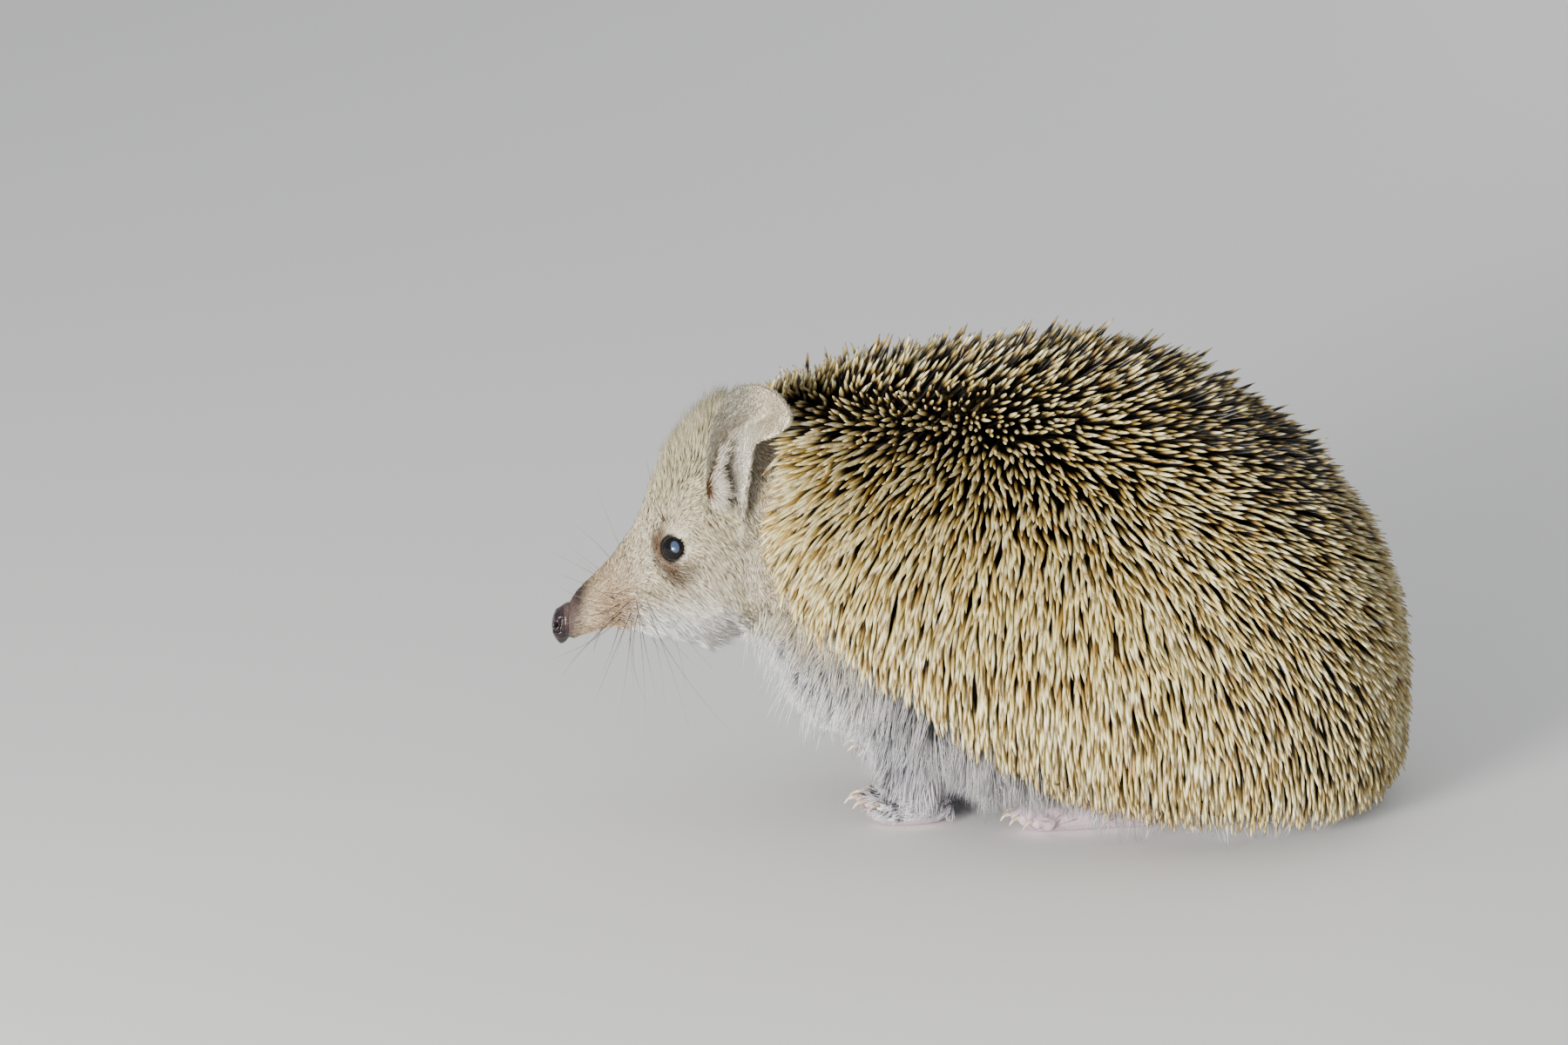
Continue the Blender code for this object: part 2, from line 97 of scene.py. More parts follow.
def within(values, low, high):
    return (values > low) & (values < high)


def columns(*parts):
    """Rows of numbers from their columns, of which any may be one number."""
    return np.stack(np.broadcast_arrays(*parts), axis=-1).astype(float)


def folded(points):
    """The points' x, as if all were on the left side, and their y and z."""
    return np.abs(points[:, 0]), points[:, 1], points[:, 2]


def mirrored(points):
    """Which side each point is on, 1 or -1, and its place as if it were on the left."""
    side = np.where(points[:, 0] >= 0, 1.0, -1.0)
    return side, points * columns(side, 1.0, 1.0)


def near(points, place, reach, softness=0.5):
    """1 at a place, 0 beyond its reach, either side of the body alike."""
    gap = np.linalg.norm(columns(*folded(points)) - np.array(place), axis=1)
    return 1.0 - ramp(gap, reach * (1 - softness), reach)


def tree_of(places):
    """A tree that finds the nearest of the places."""
    tree = kdtree.KDTree(len(places))
    for i, place in enumerate(places):
        tree.insert(place, i)
    tree.balance()
    return tree


def waves(points, wavelength, seed):
    """A slow wandering value between about -1 and 1, from a few crossed waves."""
    chooser = np.random.default_rng(seed)
    total = np.zeros(len(points))
    for _ in range(6):
        heading = unit(chooser.normal(size=3))
        turn = chooser.uniform(0, 2 * math.pi)
        total += np.sin(points @ heading * (2 * math.pi / wavelength) + turn)
    return total / 2.6


def drift(points, wavelength, seed):
    """A slowly wandering way at each point."""
    return columns(*(waves(points, wavelength, seed + i) for i in range(3)))


def linear(hex_colour):
    """Linear red, green and blue of an sRGB hex colour."""
    value = hex_colour.lstrip("#")
    parts = np.array([int(value[i : i + 2], 16) for i in (0, 2, 4)]) / 255
    return np.where(parts <= 0.04045, parts / 12.92, ((parts + 0.055) / 1.055) ** 2.4)


def only(*pieces):
    """Selects just these pieces, the first of them active."""
    bpy.ops.object.select_all(action="DESELECT")
    for piece in pieces:
        piece.select_set(True)
    bpy.context.view_layer.objects.active = pieces[0]


def new_piece(name, mesh):
    piece = bpy.data.objects.new(name, mesh)
    bpy.context.scene.collection.objects.link(piece)
    return piece


def piece_from(bm, name):
    """A piece made from faces that are turned to look outward."""
    bmesh.ops.recalc_face_normals(bm, faces=bm.faces)
    mesh = bpy.data.meshes.new(name)
    bm.to_mesh(mesh)
    bm.free()
    return new_piece(name, mesh)


def apply_modifier(piece, kind, **settings):
    step = piece.modifiers.new(kind.lower(), kind)
    for key, value in settings.items():
        setattr(step, key, value)
    only(piece)
    bpy.ops.object.modifier_apply(modifier=step.name)


def points_of(mesh):
    """The mesh's points in millimetres."""
    points = np.empty(len(mesh.vertices) * 3, np.float32)
    mesh.vertices.foreach_get("co", points)
    return points.reshape(-1, 3).astype(float) / MM


def set_points(mesh, points):
    mesh.vertices.foreach_set("co", (points * MM).astype(np.float32).ravel())
    mesh.update()


def normals_of(mesh):
    normals = np.empty(len(mesh.vertices) * 3, np.float32)
    mesh.vertices.foreach_get("normal", normals)
    return normals.reshape(-1, 3).astype(float)


def join_rings(bm, rings, ends):
    """Faces between rings of points, and a point to close either end."""
    count = len(rings[0])
    pairs = [(i, (i + 1) % count) for i in range(count)]
    for here, there in zip(rings, rings[1:]):
        for i, j in pairs:
            bm.faces.new((here[i], here[j], there[j], there[i]))
    for ring, end in zip((rings[0], rings[-1]), ends):
        tip = bm.verts.new(end)
        for i, j in pairs:
            bm.faces.new((ring[i], ring[j], tip))


def tube(bm, path, count=14, rows_between=3):
    """A closed round tube along a path of (x, y, z, half width, half depth), in millimetres."""
    stations = np.array(path, float)
    padded = np.vstack([2 * stations[0] - stations[1], stations, 2 * stations[-1] - stations[-2]])
    rows = []
    for i in range(len(stations) - 1):
        before, start, end, after = padded[i : i + 4]
        for step in range(rows_between):
            t = step / rows_between
            bend = 2 * before - 5 * start + 4 * end - after
            twist = 3 * start - before - 3 * end + after
            rows.append(start + 0.5 * t * ((end - before) + t * (bend + t * twist)))
    rows.append(stations[-1])
    rows = np.array(rows)
    along = unit(np.gradient(rows[:, :3], axis=0))
    rings = []
    for row, step in zip(rows, along):
        side = unit(np.array([1.0, 0, 0]) - step * step[0])
        depth = np.cross(step, side)
        wide, deep = side * row[3], depth * row[4]
        turns = [2 * math.pi * i / count for i in range(count)]
        rings.append([
            bm.verts.new((row[:3] + wide * math.cos(a) + deep * math.sin(a)) * MM) for a in turns
        ])
    join_rings(bm, rings, [
        (row[:3] + outward * 0.6 * min(row[3], row[4])) * MM
        for row, outward in ((rows[0], -along[0]), (rows[-1], along[-1]))
    ])


# ---------------------------------------------------------------- the skin

ear_points, ear_faces = [], []
for ear_side in SIDES:
    ear_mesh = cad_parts["ear_" + ear_side].data
    start = len(ear_points)
    ear_points += [vertex.co.copy() for vertex in ear_mesh.vertices]
    ear_faces += [
        [start + i for i in face.vertices]
        for face in ear_mesh.polygons if face.center.z > EAR_FOOT * MM
    ]
ear_tree = BVHTree.FromPolygons(ear_points, ear_faces)


def ear_part(points, reach=0.9):
    """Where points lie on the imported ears."""
    chosen = (np.abs(points[:, 0]) > 15) & (points[:, 1] < -33) & (points[:, 2] > 60)
    hits = [ear_tree.find_nearest(Vector(place) * MM, reach * MM)[0] for place in points[chosen]]
    marks = np.zeros(len(points), bool)
    marks[chosen] = [hit is not None for hit in hits]
    return marks


def merged_copy(name, growth=0.16):
    """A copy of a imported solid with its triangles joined, grown to close the gaps between them."""
    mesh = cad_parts[name].data.copy()
    bm = bmesh.new()
    bm.from_mesh(mesh)
    bmesh.ops.remove_doubles(bm, verts=bm.verts, dist=0.01 * MM)
    bmesh.ops.recalc_face_normals(bm, faces=bm.faces)
    bm.to_mesh(mesh)
    bm.free()
    mesh.materials.clear()
    set_points(mesh, points_of(mesh) + normals_of(mesh) * growth)
    return new_piece("flesh_" + name, mesh)


def trunk_rays():
    """Places on a line inside the trunk and the ways out from them, row by row."""
    turns = np.radians(np.arange(0, 360, 5))
    rows = []
    for y in np.linspace(-46.0, 44.0, 46):
        level = np.interp(y, [-48, -28, -4, 23, 53], [60, 51, 45, 42, 40])
        rows.append([((0, y, level), (math.sin(a), 0, math.cos(a))) for a in turns])
    for lean in np.radians(np.arange(4, 90, 4)):
        out, back = math.cos(lean), math.sin(lean)
        rows.append([
            ((0, 44, 40.5), (out * math.sin(a), back, out * math.cos(a))) for a in turns
        ])
    return rows


def body_under_coat():
    """The trunk's flesh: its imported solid, sunk by the depth of the coat."""
    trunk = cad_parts["trunk"].data
    tree = BVHTree.FromPolygons(
        [vertex.co for vertex in trunk.vertices], [face.vertices for face in trunk.polygons]
    )
    bm = bmesh.new()
    rings = []
    for row in trunk_rays():
        ring = []
        for start, way in row:
            start, way = Vector(start), Vector(way)
            hit, normal, _, _ = tree.ray_cast((start + way * 130) * MM, -way)
            reach = (hit / MM - start).length if hit else 20.0
            normal = normal if hit else way
            lean = math.degrees(math.atan2(math.hypot(normal.x, max(0, normal.y) * 0.6), normal.z))
            depth = np.interp(lean, COAT_DEPTH_LEANS, COAT_DEPTHS)
            front = float(ramp(start.y, -46.0, -24.0))
            depth = (1 - front) * min(depth, 7.6) + front * depth
            reach -= depth / max(0.6, normal.dot(way))
            ring.append(bm.verts.new((start + way * reach) * MM))
        rings.append(ring)
    join_rings(bm, rings, [
        sum((vertex.co for vertex in ring), Vector()) / len(ring) for ring in (rings[0], rings[-1])
    ])
    return piece_from(bm, "flesh_body")


# The sizes of one kind of foot, which points to -Y before it is turned and placed.
Foot = namedtuple("Foot", "place turn sole spread toe_length toe_radius claw_length lift")
FEET = {
    "forefoot": Foot(
        place=(20.3, -19.5),
        turn=6.0,
        sole=[
            (0.0, 12.0, 3.3, 2.2, 2.0),
            (0.0, 9.5, 3.7, 3.8, 3.6),
            (0.0, 5.0, 4.1, 4.6, 4.5),
            (0.0, 0.5, 3.5, 5.0, 3.8),
            (0.0, -2.6, 3.0, 4.4, 2.9),
            (0.0, -4.2, 2.8, 2.6, 1.8),
        ],
        spread=13.0,
        toe_length=6.6,
        toe_radius=1.45,
        claw_length=2.9,
        lift=4.2,
    ),
    "hindfoot": Foot(
        place=(24.0, 13.0),
        turn=9.0,
        sole=[
            (0.0, 24.5, 3.4, 2.4, 2.4),
            (0.0, 21.0, 3.6, 4.4, 4.0),
            (0.0, 13.0, 3.5, 4.9, 3.9),
            (0.0, 4.0, 4.0, 5.5, 4.4),
            (0.0, -2.0, 3.8, 5.6, 4.2),
            (0.0, -5.0, 3.2, 4.2, 3.0),
        ],
        spread=10.0,
        toe_length=6.2,
        toe_radius=1.9,
        claw_length=2.7,
        lift=1.6,
    ),
}


def placed(path, foot, side):
    """A path of a foot that points to -Y, turned and set in its place on one side."""
    turn = math.radians(foot.turn)
    rows = []
    for x, y, z, *sizes in path:
        turned_x = x * math.cos(turn) - y * math.sin(turn) + foot.place[0]
        turned_y = x * math.sin(turn) + y * math.cos(turn) + foot.place[1]
        rows.append((side * turned_x, turned_y, z, *sizes))
    return rows


def toe_paths(foot):
    """The paths of the toes and claws of a foot that points to -Y."""
    toes, claws = [], []
    ball = foot.sole[-3]
    for i in range(5):
        place = i - 2
        angle = math.radians(place * foot.spread)
        forward = np.array([math.sin(angle), -math.cos(angle), 0.0])
        start = np.array([place * ball[3] * 0.42, -1.0 + 0.55 * abs(place), 2.6])
        length = foot.toe_length * (1.0 - 0.085 * place * place)
        size = foot.toe_radius
        knuckle = start + forward * length * 0.5 + [0, 0, 0.25 + 0.55 * foot.lift]
        end = start + forward * length + [0, 0, foot.lift - 1.0]
        waist = end * 0.55 + knuckle * 0.45
        toes.append([
            (*start, size * 1.1, size * 1.1),
            (*knuckle, size * 1.02, size),
            (*waist, size * 0.86, size * 0.84),
            (*end, size * 0.92, size * 0.86),
        ])
        claws.append([
            (*(end - forward * 0.9 + [0, 0, 0.45]), 0.6, 0.65),
            (*(end + forward * foot.claw_length * 0.3 + [0, 0, 0.55]), 0.5, 0.58),
            (*(end + forward * foot.claw_length * 0.7 + [0, 0, 0.1]), 0.34, 0.4),
            (*(end + forward * foot.claw_length + [0, 0, -0.9]), 0.16, 0.18),
        ])
    return toes, claws


def bare_feet():
    """Soles, palm pads and toes without their claws."""
    bm = bmesh.new()
    for foot in FEET.values():
        for side in SIDES.values():
            tube(bm, placed(foot.sole, foot, side))
            for path in toe_paths(foot)[0]:
                tube(bm, placed(path, foot, side), count=10)
    return piece_from(bm, "flesh_feet")


def eye_frames(points):
    """For each point: which side it is on, and its distance, way and angle from that side's eye."""
    side, left = mirrored(points)
    offset = left - EYE_CENTRE
    distance = np.linalg.norm(offset, axis=1)
    way = unit(offset)
    angle = np.degrees(np.arccos(np.clip(way @ unit(EYE_AXIS), -1, 1)))
    return side, distance, way, angle


def shape_lids(points):
    """Draws the skin round each eyeball into two lids, and sinks what the eye hides."""
    side, distance, way, angle = eye_frames(points)
    close = distance < 6.5
    rim = EYE_RADIUS + LID_THICKNESS
    sunk = np.minimum(distance, EYE_RADIUS - 0.5)
    lid = np.maximum(distance, rim)
    open_part = 1.0 - ramp(angle, EYE_OPENING - 2.5, EYE_OPENING + 1.0)
    wanted = sunk * open_part + lid * (1 - open_part)
    wanted = np.where(close, wanted, distance)
    moved = EYE_CENTRE + way * wanted[:, None]
    moved[:, 0] *= side
    return np.where(close[:, None], moved, points)


def refine(piece, chosen):
    """Splits the faces whose middles the function chooses."""
    bm = bmesh.new()
    bm.from_mesh(piece.data)
    middles = np.array([face.calc_center_median() for face in bm.faces]) / MM
    wanted = chosen(middles)
    edges = {edge for face, hit in zip(bm.faces, wanted) if hit for edge in face.edges}
    bmesh.ops.subdivide_edges(bm, edges=list(edges), cuts=1, use_grid_fill=True)
    bmesh.ops.triangulate(bm, faces=[face for face in bm.faces if len(face.verts) > 4])
    bm.to_mesh(piece.data)
    bm.free()


def under_coat(points):
    """Where the spines and the long belly hair hide the skin."""
    y, z = points[:, 1], points[:, 2]
    return (y > -43) & (z > 14) | (y > 2) & (z > 9) | (y > 44)


def needs_detail(points):
    """Where the skin shows bare or is finely shaped."""
    feet = (points[:, 2] < 11) & within(points[:, 1], -36, 44)
    return feet | (eye_frames(points)[1] < 8) | (points[:, 1] < -84)


def thin_out(piece, chosen, ratio):
    """Merges small faces of the chosen part until this share of them is left."""
    only(piece)
    marks = chosen(points_of(piece.data))
    piece.data.vertices.foreach_set("select", marks)
    piece.data.edges.foreach_set("select", np.zeros(len(piece.data.edges), bool))
    piece.data.polygons.foreach_set("select", np.zeros(len(piece.data.polygons), bool))
    bpy.ops.object.mode_set(mode="EDIT")
    bpy.ops.mesh.select_mode(type="VERT")
    bpy.ops.mesh.decimate(ratio=ratio)
    bpy.ops.object.mode_set(mode="OBJECT")


def fur_depth(points):
    """How far the skin lies below the tips of the short fur of head, neck, legs and feet."""
    y, z = points[:, 1], points[:, 2]
    depth = np.interp(y, [-92, -88.5, -86, -80, -76, -68, -55, -46, -40],
                      [0.1, 0.0, 0.15, 0.9, 1.8, 1.7, 2.1, 1.8, 1.0])
    low = ramp(46 - z, 0, 6) * (y < -47)
    under = np.interp(y, [-92, -88, -86, -80, -70, -62, -56, -51, -46],
                      [0.1, 0.1, 0.5, 1.6, 1.4, 1.6, 4.0, 4.2, 2.0])
    depth = depth * (1 - low) + under * low
    depth = np.where(y > -38, 1.0, depth)
    depth = depth * (1 - 0.7 * near(points, EYE_CENTRE, 8.0, 0.6))
    for foot in ((18.5, -57.5, 68.5), (18.8, -54.5, 67.5), (19.6, -52.0, 65.0)):
        depth = depth * (1 - 0.85 * near(points, foot, 5.5, 0.8))
    return np.where(z < 9.0, 0.1, np.where(ear_part(points), 0.3, depth))


# The rolled rear rim of the left ear and the hollow before it, as (y, z) down their length.
EAR_RIM = [
    (-42.5, 92.5), (-43.5, 89.9), (-46.1, 88.2), (-49.1, 86.9),
    (-50.9, 85.1), (-50.9, 81.8), (-50.7, 76.6), (-51.3, 70.4),
]
EAR_HOLLOW = [
    (-46.6, 92.2), (-48.6, 90.4), (-51.0, 88.6), (-53.6, 85.4), (-54.6, 80.0), (-54.8, 74.0),
]


def from_line(points, line):
    """How far points lie from a line drawn on the animal's side."""
    nearest = np.full(len(points), 99.0)
    for start, end in zip(np.array(line[:-1]), np.array(line[1:])):
        span = end - start
        part = np.clip((points[:, 1:] - start) @ span / (span @ span), 0, 1)
        gap = np.linalg.norm(points[:, 1:] - start - part[:, None] * span, axis=1)
        nearest = np.minimum(nearest, gap)
    return nearest


def ear_relief(points, normals):
    """How the left ear's inner face swells at its rim and sinks in its hollow."""
    inner = ear_part(points) * (points[:, 0] > 0) * ramp(normals[:, 0], 0.0, 0.5)
    rim = bell(from_line(points, EAR_RIM), 1.3)
    hollow = bell(from_line(points, EAR_HOLLOW), 2.0)
    return inner * (0.55 * rim - 1.3 * hollow * ramp(points[:, 2], 74.0, 80.0))


def mouth_line(points):
    """1 along the lips on both sides of the muzzle, 0 away from them."""
    lip = 38.4 + (points[:, 1] + 85.6) * 0.16
    across = bell(points[:, 2] - lip, 0.35)
    along = ramp(points[:, 1], -88.0, -85.6) * (1 - ramp(points[:, 1], -73.0, -70.5))
    return across * along


def make_skin():
    """One closed skin through every part of flesh, with lids, lips and toes."""
    names = ["head", "lower_jaw", "neck", "tail", "ear_left", "ear_right"]
    names += [kind + "_" + side for kind in ("foreleg", "hindleg") for side in SIDES]
    parts = [merged_copy(name) for name in names]
    parts.append(merged_copy("nose_pad", growth=-0.35))
    for side in SIDES:
        eyeball = merged_copy("eye_" + side)
        set_points(eyeball.data, points_of(eyeball.data) + EYE_SHIFT)
        parts.append(eyeball)
    parts += [body_under_coat(), bare_feet()]
    only(*parts)
    bpy.ops.object.join()
    skin = bpy.context.view_layer.objects.active
    skin.name = "skin"
    skin.data.name = "skin"
    apply_modifier(skin, "REMESH", mode="VOXEL", voxel_size=SKIN_VOXEL * MM, adaptivity=0.0)
    before = points_of(skin.data)
    apply_modifier(skin, "SMOOTH", factor=0.5, iterations=9)
    after = points_of(skin.data)
    fine = near(before, (0, -91, 39), 7) + near(before, (20, -14, 3), 17) * (before[:, 2] < 9)
    fine = np.clip(fine + near(before, (23, 14, 3), 26) * (before[:, 2] < 8), 0, 1)
    points = after * (1 - 0.85 * fine[:, None]) + before * (0.85 * fine[:, None])
    set_points(skin.data, points)
    points -= normals_of(skin.data) * fur_depth(points)[:, None]
    set_points(skin.data, points)
    points += normals_of(skin.data) * ear_relief(points, normals_of(skin.data))[:, None]
    points[:, 2] = np.maximum(points[:, 2], 0.0)
    set_points(skin.data, points)
    thin_out(skin, under_coat, 0.07)
    thin_out(skin, lambda p: ~under_coat(p) & ~needs_detail(p), 0.45)
    refine(skin, lambda p: eye_frames(p)[1] < 6.0)
    points = shape_lids(points_of(skin.data))
    set_points(skin.data, points)
    points -= normals_of(skin.data) * (0.5 * mouth_line(points))[:, None]
    set_points(skin.data, points)
    skin.data.shade_smooth()
    return skin


# ---------------------------------------------------------------- unwrap of the skin's own shape

def unwrap(points):
    """Each point's place on a map of the body: along it one way, and round it the other."""
    x, y, z = points.T
    level = np.interp(y, [-92, -80, -66, -52, -28, 0, 30, 60, 92],
                      [39, 41, 50, 60, 52, 46, 40, 36, 28])
    round_body = np.arctan2(x, z - level) / (2 * math.pi) + 0.5
    along = (y + 93.0) / 186.0
    u, v = 0.02 + 0.76 * along, 0.02 + 0.96 * round_body
    ears = (z > 74) & (np.abs(x) > 19) & within(y, -62, -35)
    side = (x > 0).astype(float)
    u = np.where(ears, 0.82 + 0.08 * side + (np.abs(x) - 19) / 320.0, u)
    v = np.where(ears, 0.03 + (z - 74) / 90.0 + (y + 60) / 900.0, v)
    legs = (z < 20) & within(np.abs(x), 12, 33) & within(y, -34, 40)
    u = np.where(legs, 0.82 + (y + 34) / 460.0, u)
    v = np.where(legs, 0.40 + 0.28 * side + (np.abs(x) - 12) / 160.0 + z / 400.0, v)
    return np.column_stack([u, v])


# ---------------------------------------------------------------- the coat's colours and painted shading

PALETTE = {name: linear(shade) for name, shade in {
    "sandy": "#EAE0C6",
    "forehead": "#DBD4B4",
    "muzzle": "#D3BE9F",
    "bare muzzle": "#483A36",
    "eye ring": "#6A4E38",
    "whisker pad": "#A67C58",
    "eye rim": "#120D0B",
    "chin": "#FFFFFF",
    "cheek": "#FFFBEF",
    "neck": "#EFE8D2",
    "ear": "#9D998A",
    # Painted light for the ear's lit rolled rim.
    "ear rim painted light": "#E0DDD1",
    # Painted shade for the ear's hollow.
    "ear hollow painted shade": "#988F7D",
    "belly": "#ECEDEE",
    "fringe": "#B7BAC4",
    "edge fur": "#D9CCB2",
    "foreleg": "#D3D0D6",
    "paw": "#B7A2A9",
    # Painted shade: near black for the hide in the shade between the spines.
    "painted shade under spines": "#241D18",
}.items()}


# Brown patches round the eyes: their place on the left side, their reach and their strength.
EYE_RING = [
    ((14.2, -69.4, 58.4), 6.0, 1.0),
    ((13.4, -70.8, 61.0), 5.4, 0.95),
    ((15.0, -66.4, 54.8), 5.0, 0.9),
    ((16.0, -62.6, 56.2), 3.5, 0.5),
]


def markings_and_painted_shading(points):
    """The coat's colour at each place, the same for the skin and for the hair that grows there, with
    painted shade in the ears' hollows and painted light along their rims.
    """
    x, y, z = folded(points)
    colour = np.tile(PALETTE["sandy"], (len(points), 1))

    def lay(name, part):
        nonlocal colour
        part = np.clip(part, 0, 1)[:, None]
        colour = colour * (1 - part) + PALETTE[name] * part

    lay("forehead", ramp(z, 60, 74) * (1 - ramp(y, -54, -50)))
    lay("cheek", near(points, (17, -60, 46), 14, 0.9) * 0.8)
    lay("muzzle", 1 - ramp(y + (z - 40) * 0.25, -80, -68))
    below = ramp(46.5 + (y + 70) * 0.12 - z, -2.5, 4.0)
    lay("chin", below * ramp(y, -80, -72) * (1 - ramp(y, -52, -47)))
    lay("bare muzzle", 1 - ramp(y - (z - 39) * 0.2, -88.2, -84.6))
    lay("whisker pad", 0.6 * near(points, (9, -79, 45), 8.0, 0.9))
    for place, reach, strength in EYE_RING:
        lay("eye ring", near(points, place, reach, 0.9) * strength)
    lay("eye rim", near(points, EYE_CENTRE, 3.75, 0.15))
    lay("neck", ramp(y, -54.5, -52.5) * ramp(z, 40, 46))
    ears = ear_part(points, 1.6) * ramp(z, 67.0, 74.0)
    lay("ear", ears)
    lay("eye ring", near(points, (19.6, -58.9, 73.8), 3.2, 0.9) * 0.8)
    # Painted shade darkens the ear's hollow.
    lay("ear hollow painted shade", ears * bell(from_line(points, EAR_HOLLOW), 2.6))
    # A painted highlight lightens the ear's rolled rim.
    lay("ear rim painted light", ears * bell(from_line(points, EAR_RIM), 1.7))
    lay("belly", ramp(y, -52, -47) * (1 - ramp(z, 38, 44)))
    lay("fringe", ramp(y, -30, -14) * (1 - ramp(z, 38, 44)) * 0.9)
    edge = mantle_edge(y)
    front = ramp(y, -52, -46) * (1 - 0.7 * ramp(y, -34, -22))
    lay("edge fur", 0.75 * front * (1 - ramp(edge - z, 0.5, 7.0)))
    lay("foreleg", within(y, -34, 0) & (z < 20) & within(x, 12, 33))
    haired = within(y, -24, 0) & (z > 2)
    lay("paw", (z < 6.5) & within(x, 12, 34) & within(y, -34, 42) & ~haired)
    return colour


# ---------------------------------------------------------------- hair and spines

class Surface:
    """The skin as arrays: places, outward ways and triangles, in millimetres."""

    def __init__(self, mesh):
        mesh.calc_loop_triangles()
        self.points = points_of(mesh)
        self.normals = normals_of(mesh)
        corners = np.empty(len(mesh.loop_triangles) * 3, np.int32)
        mesh.loop_triangles.foreach_get("vertices", corners)
        self.triangles = corners.reshape(-1, 3)
        a, b, c = (self.points[self.triangles[:, i]] for i in range(3))
        self.areas = np.linalg.norm(np.cross(b - a, c - a), axis=1) / 2
        self.middles = (a + b + c) / 3

    def scatter(self, density):
        """Root places and their outward ways, as many to a square millimetre as density says."""
        wanted = self.areas * np.maximum(density(self.middles, self.middle_normals()), 0)
        total = int(wanted.sum())
        chosen = rng.choice(len(wanted), size=total, p=wanted / wanted.sum())
        r, s = rng.random((2, total))
        r = np.sqrt(r)
        weights = np.column_stack([1 - r, r * (1 - s), r * s])[:, :, None]
        corners = self.triangles[chosen]
        places = (self.points[corners] * weights).sum(axis=1)
        return places, unit((self.normals[corners] * weights).sum(axis=1))

    def middle_normals(self):
        return unit(self.normals[self.triangles].mean(axis=1))


def spaced(places, distance):
    """Which of the places to keep so that no two stand closer than their distance."""
    cell = float(np.max(distance))
    steps = list(itertools.product((-1, 0, 1), repeat=3))
    taken = {}
    kept = []
    for i, place in enumerate(places):
        a, b, c = (int(part) for part in np.floor(place / cell))
        beside = [j for u, v, w in steps for j in taken.get((a + u, b + v, c + w), ())]
        gaps = (places[j] - place for j in beside)
        if all(gap @ gap >= distance[i] ** 2 for gap in gaps):
            taken.setdefault((a, b, c), []).append(i)
            kept.append(i)
    return np.array(kept)


def flattened(ways, normals):
    """The ways with what points along the surface's normal taken out."""
    return ways - normals * (ways * normals).sum(axis=1)[:, None]


